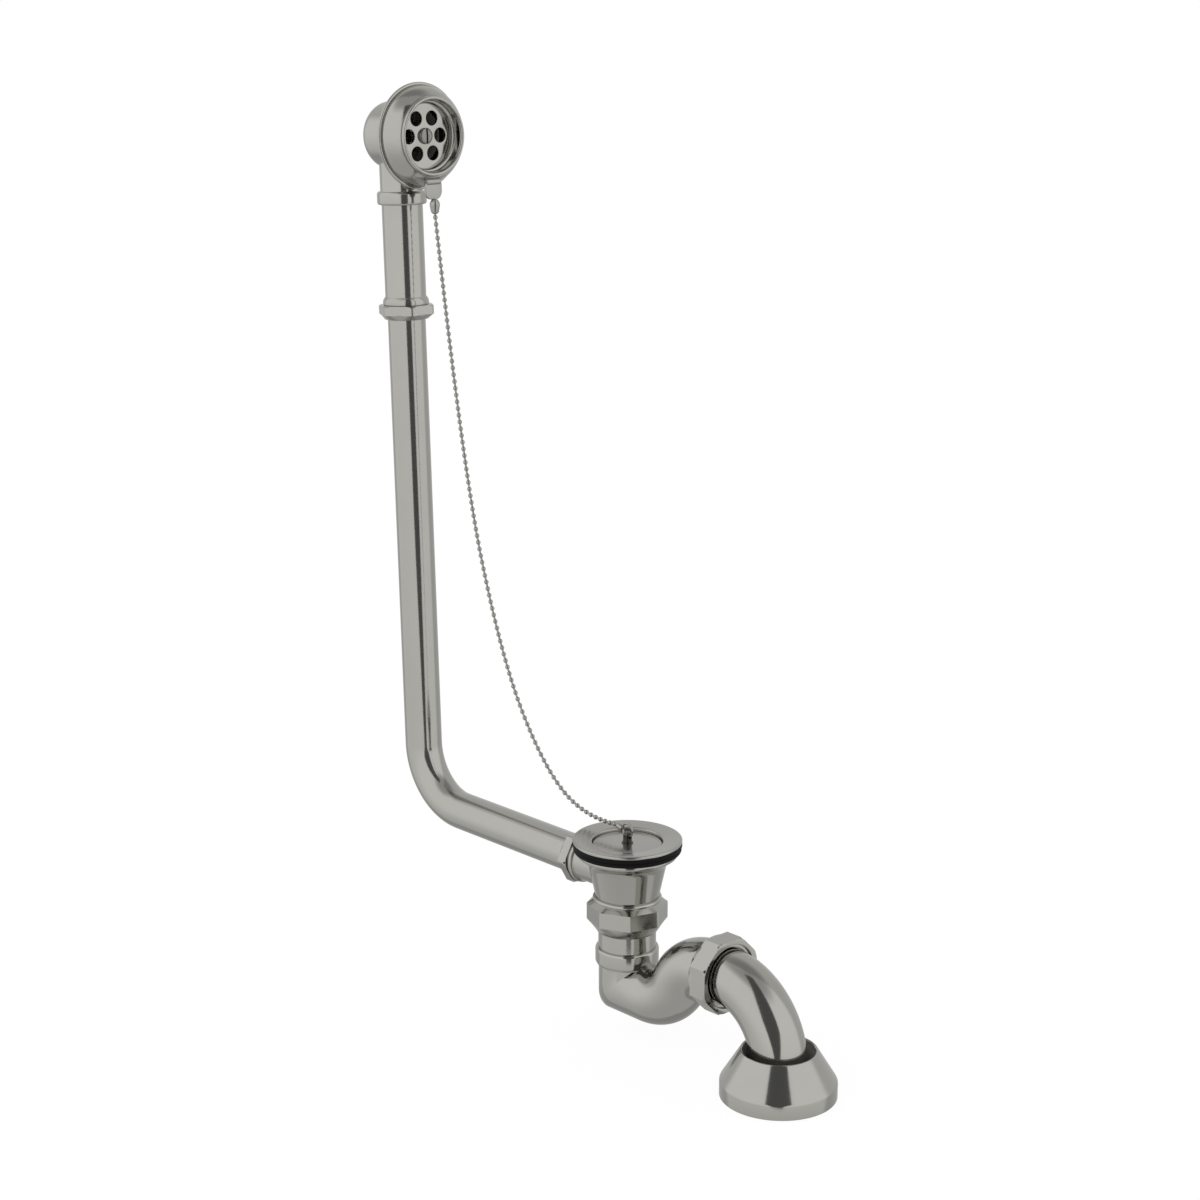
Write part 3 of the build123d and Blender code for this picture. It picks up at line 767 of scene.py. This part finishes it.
@dataclass
class Overflow:
    """Pipe, telescopic tube, elbow and face of the overflow."""

    finish: Finishes
    pipe_from: float = -39.8
    pipe_bore: float = 10.9
    pipe_bend: float = 41.5
    pipe_top: float = 374.0
    upper_r: float = 13.6
    upper_low: float = 338.6
    foot_wall: float = 1.3
    tube_bead_r: float = 15.3
    slip_nut_across: float = 38.8
    nut_behind: float = 4.3
    nut_over: float = 5.2
    nut_web: float = 2.5
    collar_low: float = 409.8
    collar_h: float = 8.6
    collar_r: float = 16.4
    spigot_r: float = 14.1
    spigot_bore: float = 11.6
    spigot_short: float = 16.0
    socket_deep: float = 7.0
    barrel_r: float = 22.2
    barrel_back: float = -15.9
    barrel_front: float = 18.9
    barrel_bore: float = 18.4
    barrel_wall: float = 3.4
    seat_r: float = 26.0
    seat_t: float = 3.0
    liner: float = 0.2
    bar_half: float = 4.5
    bar_back: float = 9.0
    bar_front: float = 2.0
    gasket_t: float = 1.4
    face_r: float = 34.4
    lip_r: float = 25.2
    lip_at: float = 36.6
    grille_r: float = 20.6
    grille_at: float = 26.3
    grille_t: float = 2.0
    hole_r: float = 4.7
    hole_ring: float = 12.9
    screw_r: float = 3.0
    screw_head_r: float = 5.3
    screw_slot: float = 0.75

    def build(self) -> None:
        """Build the overflow's pieces."""
        self.pipe()
        self.telescope()
        self.elbow()
        self.face()
        self.screw()

    def pipe(self) -> None:
        """Bent pipe from the side inlet up into the telescopic tube."""
        turn = 90 - degrees(LAY.lean)
        cut = self.pipe_bend * sin(radians(turn / 2)) / cos(radians(turn / 2))
        Shell().tube(
            LAY.pipe_r, self.pipe_bore, axes((self.pipe_from, 0, LAY.inlet_z), Y, (-1, 0, 0)),
            [("run", self.pipe_from - LAY.corner_x - cut), ("turn", self.pipe_bend, Y, turn),
             ("run", self.pipe_top - cut)],
            steps=112).done("overflow_pipe_skin", ["overflow_pipe"], [self.finish.nickel])

    def telescope(self) -> None:
        """Upper tube with its bead, and the slip nut below it."""
        u, p, r, bead = self.upper_low, LAY.pipe_r, self.upper_r, self.tube_bead_r
        foot, top, high = r + self.foot_wall, u + self.nut_over, self.collar_low + self.socket_deep
        Shell().spin(
            [(p, u), (foot, u), (foot, top), (bead - 0.3, top), (bead, u + 5.7, 0.3), (bead, u + 8.2, 0.8),
             (r + 0.5, u + 10.2, 0.3), (r, u + 10.6, 0.3), (r, high), (p, high)],
            LAY.pipe(), steps=128).done("upper_tube_skin", ["upper_tube"], [self.finish.nickel])
        low, web = u - self.nut_behind, u - self.nut_web
        hole, turned = p + LAY.nut_slack, self.slip_nut_across / 2 - 0.45
        Shell().spin(
            [(hole, low), (foot - 0.4, low, 0.3), (turned, low + 3.4), (turned, top - 0.8),
             (turned - 1.4, top, 0.2), (foot, top), (foot, web), (hole, web)],
            LAY.pipe(), steps=144, cuts={1: 16, 2: 6, 3: 8}, shape=flats(self.slip_nut_across, 6, 4)).done(
                "slip_nut_skin", ["slip_nut"], [self.finish.nickel], sharp=34)

    def elbow(self) -> None:
        """Round-backed barrel on its spigot and collar, with the screw's bar and a liner of painted shade."""
        back, front, r, b = self.barrel_back, self.barrel_front, self.barrel_r, self.barrel_bore
        inner, seat, seat_r = back + self.barrel_wall, front - self.seat_t, self.seat_r
        shell = Shell().spin(
            [(0, back), (r, back, 9), (r, seat, 0.6), (seat_r, seat, 0.3), (seat_r, front), (b, front),
             (b, inner, 6), (0, inner)],
            LAY.face(), steps=128, segments=10)
        c, k, u, s = self.collar_low, self.collar_r, self.upper_r, self.spigot_r
        top, stop, end = c + self.collar_h, c + self.socket_deep, LAY.head_up - self.spigot_short
        shell.spin(
            [(u, c), (k - 0.8, c, 0.4), (k, c + 1, 0.6), (k, top - 1.4, 0.8), (k - 0.9, top, 0.4), (s, top, 0.4),
             (s, end), (self.spigot_bore, end), (self.spigot_bore, stop), (u, stop)],
            LAY.pipe(), steps=112)
        # Liner just inside the bore in dark grey: painted shade in the barrel's recess.
        thin, rim = self.liner, front - 0.1
        floor = inner + thin
        shell.spin(
            [(0, floor), (b - thin, floor, 6), (b - thin, rim), (b - 2 * thin, rim), (b - 2 * thin, floor + thin, 6),
             (0, floor + thin)],
            LAY.face(), steps=64, index=Index.INSIDE)
        wide, high = b + 0.8, self.bar_half
        shell.plate([(-wide, -high), (wide, -high), (wide, high), (-wide, high)], front - self.bar_back,
                    front - self.bar_front, LAY.face(), 0.4, 0.3)
        shell.done("overflow_elbow_skin", ["overflow_elbow"], [self.finish.nickel, self.finish.bore])

    def face(self) -> None:
        """Domed face with its lip, stepped recess and pierced grille."""
        back, r, lip, at = self.barrel_front + self.gasket_t, self.face_r, self.lip_r, self.lip_at
        g, floor, rise = self.grille_r, self.grille_at, r - lip
        dome = through([(r - 2.2, back + 1.8), (r - 0.29 * rise, back + 5.6), (r - 0.56 * rise, back + 10.6),
                        (lip + 1.0, at - 2.4)], 28)
        shell = Shell().spin(
            [(g, back), (r - 0.6, back, 0.3), (r, back + 0.5, 0.5), (r, back + 1.5, 0.5),
             (r - 0.7, back + 2.1, 0.5), (r - 1.6, back + 2.1, 0.3), *dome, (lip + 0.3, at - 2.6, 0.15),
             (lip + 0.5, at - 1.6, 0.3), (lip + 0.1, at - 0.5, 0.5), (lip - 0.8, at, 0.6),
             (lip - 1.8, at - 0.5, 0.5), (lip - 2.2, at - 1.6, 0.3), (g + 2.2, at - 1.9, 0.1),
             (g + 2.2, floor + 3.6, 0.4), (g + 0.9, floor + 3.0, 0.5), (g, floor + 1.2, 0.3)],
            LAY.face(), steps=192)
        holes = [(self.hole_ring * cos(k * pi / 3), self.hole_ring * sin(k * pi / 3), self.hole_r)
                 for k in range(6)]
        shell.pierced(g + 0.02, floor - self.grille_t, floor, holes, LAY.face())
        shell.done("overflow_face_skin", ["overflow_face"], [self.finish.nickel])

    def screw(self) -> None:
        """Slotted screw in the middle of the grille."""
        at, end, r, head = self.grille_at, self.barrel_front - self.bar_back, self.screw_r, self.screw_head_r
        Shell().spin(
            [(0, end), (r, end), (r, at), (head, at), (head, at + 1.6, 0.5), (head - 1.0, at + 2.6, 0.8),
             (0, at + 2.9)],
            Matrix.Identity(4), steps=64).slot(self.screw_slot, at + 1.4, LAY.face()).done(
                "face_screw_skin", ["face_screw"], [self.finish.screw])


@dataclass
class Trap:
    """Nut, tube, swan-neck trap, outlet elbow and floor shroud."""

    finish: Finishes
    nut_top: float = -36.0
    nut_across: float = 52.4
    nut_high: float = 23.4
    nut_grip: float = 15.7
    nut_bore: float = 20.0
    ring_r: float = 22.2
    tube_r: float = 18.6
    tube_drop: float = 44.0
    tube_flange_t: float = 2.5
    trap_r: float = 18.3
    bore: float = 16.2
    socket_r: float = 20.5
    socket_drop: float = 34.6
    socket_high: float = 11.2
    low_z: float = -97.6
    run_x: float = 22.0
    corner: float = 7.0
    swan_r: float = 29.6
    nut_x: float = 77.4
    nut_long: float = 15.2
    out_nut_across: float = 50.2
    mouth_deep: float = 1.8
    mouth_gap: float = 0.9
    thread_out: float = 21.0
    thread_long: float = 5.0
    flange_off: float = 6.8
    flange_t: float = 1.8
    out_r: float = 17.7
    out_wall: float = 2.0
    lead: float = 4.5
    shroud_r: float = 36.2
    shroud_wall: float = 2.5
    shroud_band: float = 9.7
    shroud_top_r: float = 24.2
    shroud_top_wall: float = 1.9
    shroud_high: float = 30.0
    shroud_liner: float = 0.1
    web_drop: float = 4.4
    web_t: float = 3.0

    @property
    def flange_x(self) -> float:
        """Where the outlet elbow's flange starts."""
        return self.nut_x + self.flange_off

    def build(self) -> None:
        """Build the trap's pieces."""
        self.nut()
        self.inlet_tube()
        self.body()
        self.outlet_nut()
        self.outlet_elbow()
        self.shroud()

    def nut(self) -> None:
        """Eight-sided nut, domed above and tapered below."""
        top, wide, k, b, r = self.nut_top, self.nut_across / 2 + 0.2, self.ring_r, self.nut_bore, self.tube_r
        low, grip = top - self.nut_high, top - self.nut_grip
        web = grip - self.tube_flange_t
        Shell().spin(
            [(b, top), (k - 0.7, top, 0.3), (k, top - 0.8, 0.5), (k, top - 1.8, 0.5), (k - 0.6, top - 2.6, 0.2),
             (wide, top - 5.2), (wide, grip), (r + 0.8, low, 0.4), (r, low), (r, web), (b, web)],
            LAY.waste(), steps=192, cuts={4: 16, 5: 8, 6: 20}, shape=flats(self.nut_across, 8, 27.5)).done(
                "trap_nut_skin", ["trap_nut"], [self.finish.nickel], sharp=22)

    def inlet_tube(self) -> None:
        """Short flanged tube between the trap nut and the trap's socket."""
        b, r, k = self.bore, self.tube_r, self.nut_bore
        high, low = self.nut_top - self.nut_grip, self.nut_top - self.tube_drop
        under = high - self.tube_flange_t
        Shell().spin(
            [(b, low), (r, low), (r, under), (k, under), (k, high), (b, high)],
            LAY.waste(), steps=128).done("trap_tube_skin", ["trap_inlet_tube"], [self.finish.nickel])

    def body(self) -> None:
        """Socket, tight lower corner, low run and swan neck."""
        top, k, r = self.nut_top - self.socket_drop, self.socket_r, self.tube_r
        foot, thread, left = top - self.socket_high, self.nut_x + self.thread_long, (0, -1, 0)
        sweep = degrees(acos(1 - (LAY.out_z - self.low_z) / (2 * self.swan_r)))
        end = self.run_x + 2 * self.swan_r * sin(radians(sweep))
        shell = Shell().tube(
            self.trap_r, self.bore, axes((0, 0, foot), X, (0, 0, -1)),
            [("mitre", foot - self.low_z, left, self.corner), ("run", self.run_x),
             ("turn", self.swan_r, left, sweep), ("turn", self.swan_r, Y, sweep), ("run", thread - end)],
            steps=112)
        shell.spin(
            [(r, top - 9.4), (k - 1.5, foot), (k - 0.9, foot, 0.3), (k, top - 9.6, 0.7), (k, top - 1.2, 0.6),
             (k - 0.7, top, 0.4), (r, top)],
            LAY.waste(), steps=128)
        shell.spin(ring(self.bore, self.thread_out, self.nut_x, thread), LAY.outlet(), steps=96)
        shell.done("trap_body_skin", ["trap_body"], [self.finish.nickel])

    def outlet_nut(self) -> None:
        """Eight-sided nut lying along the outlet."""
        x, t, c, r = self.nut_x, self.thread_out, self.out_nut_across / 2, self.out_r + self.mouth_gap
        f, lip = x + self.nut_long, self.flange_x + self.flange_t
        mouth = f - self.mouth_deep
        Shell().spin(
            [(t, x), (c - 2.8, x, 0.4), (c, x + 2.4), (c, f - 1.2), (c - 1.2, f, 0.3), (r + 1.9, f, 0.3),
             (r + 1.5, mouth), (r, mouth), (r, lip), (t, lip)],
            LAY.outlet(), steps=192, cuts={1: 14, 2: 8, 3: 8}, shape=flats(self.out_nut_across, 8)).done(
                "outlet_nut_skin", ["outlet_nut"], [self.finish.nickel], sharp=22)

    def outlet_elbow(self) -> None:
        """Flanged elbow turning down into the shroud."""
        flange = self.flange_x
        r = LAY.out_x - flange - self.lead
        shell = Shell().tube(
            self.out_r, self.out_r - self.out_wall, axes((flange, 0, LAY.out_z), Y, X),
            [("run", self.lead), ("turn", r, Y, 90), ("run", LAY.out_z - r - LAY.floor_z)], steps=112)
        shell.spin(ring(self.out_r - 1, self.thread_out, flange, flange + self.flange_t), LAY.outlet(), steps=96)
        shell.done("outlet_elbow_skin", ["outlet_elbow"], [self.finish.nickel])

    def shroud(self) -> None:
        """Floor shroud: a cone on a straight band, with a liner of painted shade in its mouth."""
        r, band, top, high, tube = self.shroud_r, self.shroud_band, self.shroud_top_r, self.shroud_high, self.out_r
        web = LAY.out_z - LAY.out_x + self.flange_x + self.lead - LAY.floor_z - self.web_drop
        foot, mouth, seat = r - self.shroud_wall, top - self.shroud_top_wall, web + self.web_t
        shell = Shell().spin(
            [(foot, 0), (r, 0, 0.3), (r, band, 0.8), (top, high - 0.9, 0.5), (top - 0.6, high, 0.4),
             (top - 1.2, high, 0.4), (mouth, high - 0.9, 0.3), (mouth, high - 3), (tube, seat), (tube, web),
             (r - 7, web), (foot, band - 1.2)],
            LAY.shroud(), steps=192)
        # Liner inside the mouth in dark grey: painted shade where the elbow goes into the shroud.
        lined = mouth - self.shroud_liner
        shell.spin(
            [(tube, seat), (mouth, high - 3), (mouth, high - 1.2), (lined, high - 1.2), (lined, high - 2.9),
             (tube, seat + 0.2)],
            LAY.shroud(), steps=128, index=Index.INSIDE)
        shell.done("floor_shroud_skin", ["floor_shroud"], [self.finish.nickel, self.finish.bore])


@dataclass
class PlugChain:
    """Stay, bell, beads and clasp of the plug's chain."""

    finish: Finishes
    stay_at: float = 32.8
    stay_top: float = -28.948
    stay_low: float = -40.348
    stay_side: float = 8.0
    stay_half: float = 6.8
    stay_foot: float = 4.2
    stay_t: float = 2.0
    barrel_r: float = 2.2
    barrel_half: float = 5.5
    bell_off: float = 1.4
    bell_long: float = 9.4
    bead_r: float = 1.6
    link_r: float = 0.7
    pitch: float = 4.46
    route: list[Point] = field(default_factory=lambda: [
        (-159, 0, 222), (-121.5, 0, 97.5), (-81.5, 0, 32.5), (-41.5, 0, 5.6), (-9.6, 0, 8.8)])

    def build(self) -> None:
        """Build the chain's pieces."""
        self.stay()
        hung = LAY.head + LAY.out * self.stay_at + LAY.up * self.stay_low
        top = hung + Vector((self.bell_off, 0, -self.bell_long))
        self.bell(top)
        line = self.line([tuple(top)] + self.route)
        self.beads(line)
        self.clasp(line[-1])

    def stay(self) -> None:
        """Shield plate hung from a rolled barrel under the front lip."""
        at, top, low, wide, foot = self.stay_at, self.stay_top, self.stay_low, self.stay_half, self.stay_foot
        side, thin = top - self.stay_side, self.stay_t / 2
        shell = Shell().plate(
            [(-wide, top), (wide, top), (wide, side), (foot, low), (-foot, low), (-wide, side)],
            at - thin, at + thin, LAY.face(), 1.8, 0.35)
        barrel = axes(LAY.head + LAY.out * at + LAY.up * top, LAY.out, Y)
        r, half = self.barrel_r, self.barrel_half
        shell.spin([(0, -half), (r, -half, 0.3), (r, half, 0.3), (0, half)], barrel, steps=48)
        shell.done("chain_stay_skin", ["chain_stay"], [self.finish.chain], Slot.CHAIN)

    def bell(self, top: Vector) -> None:
        """Bell that holds the chain's first bead.

        Args:
            top: Where the chain leaves it.
        """
        Shell().spin(
            [(0, 0), (1.3, 0, 0.2), (2.6, 1.2, 0.6), (2.9, 3.0, 0.8), (3.35, 5.8, 0.5), (3.2, 7.4, 0.4),
             (2.0, self.bell_long, 0.5), (0, self.bell_long)],
            Matrix.Translation(top), steps=48).done(
                "chain_bell_skin", ["chain_bell"], [self.finish.chain], Slot.CHAIN)

    def line(self, points: Sequence[Point]) -> list[Vector]:
        """Read a smooth line off the route's spline.

        Args:
            points: The route's control points, in millimetres.

        Returns:
            Points along the line, in millimetres.
        """
        curve = bpy.data.curves.new("chain_route", "CURVE")
        curve.dimensions = "3D"
        curve.resolution_u = 48
        spline = curve.splines.new("NURBS")
        spline.points.add(len(points) - 1)
        for p, co in zip(spline.points, points):
            p.co = (*co, 1)
        spline.order_u = 3
        spline.use_endpoint_u = True
        obj = bpy.data.objects.new("chain_route", curve)
        bpy.context.scene.collection.objects.link(obj)
        bpy.context.view_layer.update()
        mesh = bpy.data.meshes.new_from_object(obj.evaluated_get(bpy.context.evaluated_depsgraph_get()))
        line = [v.co.copy() for v in mesh.vertices]
        bpy.data.objects.remove(obj)
        return line

    def beads(self, line: Sequence[Vector]) -> None:
        """String the beads on the line, with their links.

        Args:
            line: Points along the chain, in millimetres.
        """
        runs = [(b - a).length for a, b in zip(line, line[1:])]
        length = sum(runs)
        count = round(length / self.pitch)
        step = length / count
        shell = Shell()
        bm = shell.bm
        for i in range(count):
            want, k = (i + 0.5) * step, 0
            while k < len(runs) - 1 and want > runs[k]:
                want -= runs[k]
                k += 1
            way = (line[k + 1] - line[k]).normalized()
            place = axes(line[k] + way * want, Y, way)
            bmesh.ops.create_uvsphere(bm, u_segments=10, v_segments=7, radius=self.bead_r, matrix=place)
            bmesh.ops.create_cone(bm, cap_ends=True, segments=6, radius1=self.link_r, radius2=self.link_r,
                                  depth=step, matrix=place)
        piece = shell.done("bead_chain_skin", ["bead_chain"], [self.finish.chain], Slot.CHAIN, sharp=60)
        log.info("chain %.1f mm, %d beads", length, count)

    def clasp(self, end: Vector) -> None:
        """Clasp between the last bead and the plug's ring.

        Args:
            end: The chain's last point.
        """
        way = (Vector((-LAY.ring_r, 0, LAY.ring_z)) - end).normalized()
        Shell().spin(
            [(0, 0), (1.0, 0, 0.2), (1.9, 0.8, 0.5), (2.1, 4.4, 0.6), (1.6, 5.6, 0.5), (0, 6.0)],
            axes(end, Y, way), steps=40).done(
                "chain_clasp_skin", ["chain_clasp"], [self.finish.chain], Slot.CHAIN)


@dataclass
class Studio:
    """Floor, dim panel, world light and camera."""

    photo_px: float = 1200.0
    focal_px: float = 2429.685
    sensor: float = 36.0
    pitch: float = radians(14.602)
    swing: float = radians(43.069)
    eye: Point = (1.054139, -1.009306, 0.539072)
    floor_half: float = 12.0
    floor_tone: float = 0.9
    floor_glow: float = 1.06
    floor_share: float = 0.87
    front: float = radians(-53)
    behind: tuple[Point, Point] = ((radians(103), radians(119)), (1.0, 0.66))
    overhead: tuple[Point, Point] = ((0.72, 0.95), (1.0, 0.5))
    low_down: tuple[Point, Point] = ((-0.9, 0.1), (0.6, 1.0))
    flag_at: Point = (0.39, -0.30, 0)
    flag_side: Point = (0.563, 0.826, 0)
    flag_ahead: Point = (-0.826, 0.563, 0)
    flag_glow: float = 0.11
    flag_rows: tuple[Point, ...] = ((0.08, 0, -0.27), (0.08, 0, -0.15), (0.19, 0, 0.05), (0.19, 0, 0.6),
                                    (0.17, 0.1, 0.95), (0.15, 0.3, 1.15))

    def build(self) -> None:
        """Set up the stage."""
        bpy.context.scene.view_settings.view_transform = "Standard"
        self.floor()
        self.flag()
        self.world()
        self.camera()

    def prop(self, name: str, cover: str, bm: bmesh.types.BMesh) -> tuple[bpy.types.Object, Wire]:
        """Make an object of the stage with an empty material.

        Args:
            name: The object's name.
            cover: The material's name.
            bm: Its mesh, which is freed.

        Returns:
            The object and the wiring of its material.
        """
        mesh = bpy.data.meshes.new(name)
        bm.to_mesh(mesh)
        bm.free()
        obj = bpy.data.objects.new(name, mesh)
        bpy.context.scene.collection.objects.link(obj)
        mat, w, _ = started(cover)
        w.tree.nodes.clear()
        mesh.materials.append(mat)
        return obj, w

    def floor(self) -> None:
        """Pale floor that keeps a faint shadow."""
        bm = bmesh.new()
        bmesh.ops.create_grid(bm, x_segments=1, y_segments=1, size=self.floor_half,
                              matrix=Matrix.Translation((0, 0, LAY.floor_z * MM)))
        obj, w = self.prop("floor", "pale_floor", bm)
        matt = w.add("ShaderNodeBsdfDiffuse", Color=(*[self.floor_tone] * 3, 1))
        white = w.add("ShaderNodeEmission", Color=(1, 1, 1, 1), Strength=self.floor_glow)
        share = w.math("MULTIPLY", w.add("ShaderNodeLightPath").outputs["Is Camera Ray"], self.floor_share)
        w.add("ShaderNodeOutputMaterial", Surface=w.blend(share, matt, white))
        obj.visible_glossy = False

    def flag(self) -> None:
        """Dim studio panel beside the camera, seen only in the metal."""
        place = axes(self.flag_at, self.flag_side, self.flag_ahead)
        bm = bmesh.new()
        rows = [[bm.verts.new(place.translation + place.to_3x3() @ Vector((side * half, -z, lean)))
                 for side in (-1, 1)] for half, lean, z in self.flag_rows]
        for (a, b), (c, d) in zip(rows, rows[1:]):
            bm.faces.new((a, b, d, c))
        obj, w = self.prop("flag", "black_cloth", bm)
        cloth = w.add("ShaderNodeEmission", Color=(1, 1, 1, 1), Strength=self.flag_glow)
        w.add("ShaderNodeOutputMaterial", Surface=cloth.outputs[0])
        obj.visible_camera = obj.visible_diffuse = obj.visible_shadow = obj.visible_transmission = False

    def world(self) -> None:
        """White surround, dimmer behind the object, overhead and low down."""
        world = bpy.data.worlds.new("studio")
        bpy.context.scene.world = world
        world.use_nodes = True
        world.node_tree.nodes.clear()
        w = Wire(world.node_tree)
        way = w.add("ShaderNodeTexCoord").outputs["Generated"]
        x, y, z = w.add("ShaderNodeSeparateXYZ", Vector=way).outputs
        away = w.math("ABSOLUTE", w.math("SUBTRACT", w.math("ARCTAN2", y, x), self.front))
        back, top, low = (w.ramp(source, *ramp, interpolation_type="SMOOTHSTEP") for source, ramp in (
            (away, self.behind), (z, self.overhead), (z, self.low_down)))
        level = w.math("MULTIPLY", w.math("MULTIPLY", back, top), low)
        surround = w.add("ShaderNodeBackground", Color=level, Strength=1.0)
        plain = w.add("ShaderNodeBackground", Color=(1, 1, 1, 1), Strength=1.0)
        seen = w.add("ShaderNodeLightPath").outputs["Is Camera Ray"]
        w.add("ShaderNodeOutputWorld", Surface=w.blend(seen, surround, plain))

    def camera(self) -> None:
        """Camera at the photograph's viewing angle."""
        data = bpy.data.cameras.new("camera")
        data.sensor_width = self.sensor
        data.lens = self.focal_px / self.photo_px * data.sensor_width
        data.clip_start, data.clip_end = 0.01, 60
        obj = bpy.data.objects.new("camera", data)
        bpy.context.scene.collection.objects.link(obj)
        c, a = self.pitch, self.swing
        back = Vector((cos(c) * cos(a), -cos(c) * sin(a), sin(c)))
        right = Vector((sin(a), cos(a), 0))
        obj.matrix_world = axes(self.eye, right, back)
        bpy.context.scene.camera = obj


def dress_nodes(finish: Finishes) -> None:
    """Give the pieces that keep their solids a finish.

    Args:
        finish: The shared finishes.
    """
    seals = ("inlet_seal", "slip_seal", "overflow_gasket", "trap_washer", "outlet_washer")
    # The plug stud's near-black nickel is painted shade and painted reflection.
    for name, skin in [(seal, finish.rubber) for seal in seals] + [("plug_stud", finish.dark)]:
        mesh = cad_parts[name].data
        mesh.materials.clear()
        mesh.materials.append(skin)
        log.info("%s: %s", name, skin.name)


def main() -> None:
    """Build and dress every sub-assembly, then set the stage."""
    logging.basicConfig(level=logging.INFO, format="%(message)s")
    finish = Finishes.make()
    for part in (Waste(finish), Overflow(finish), Trap(finish), PlugChain(finish)):
        part.build()
    dress_nodes(finish)
    Studio().build()


if __name__ == "__main__":
    main()
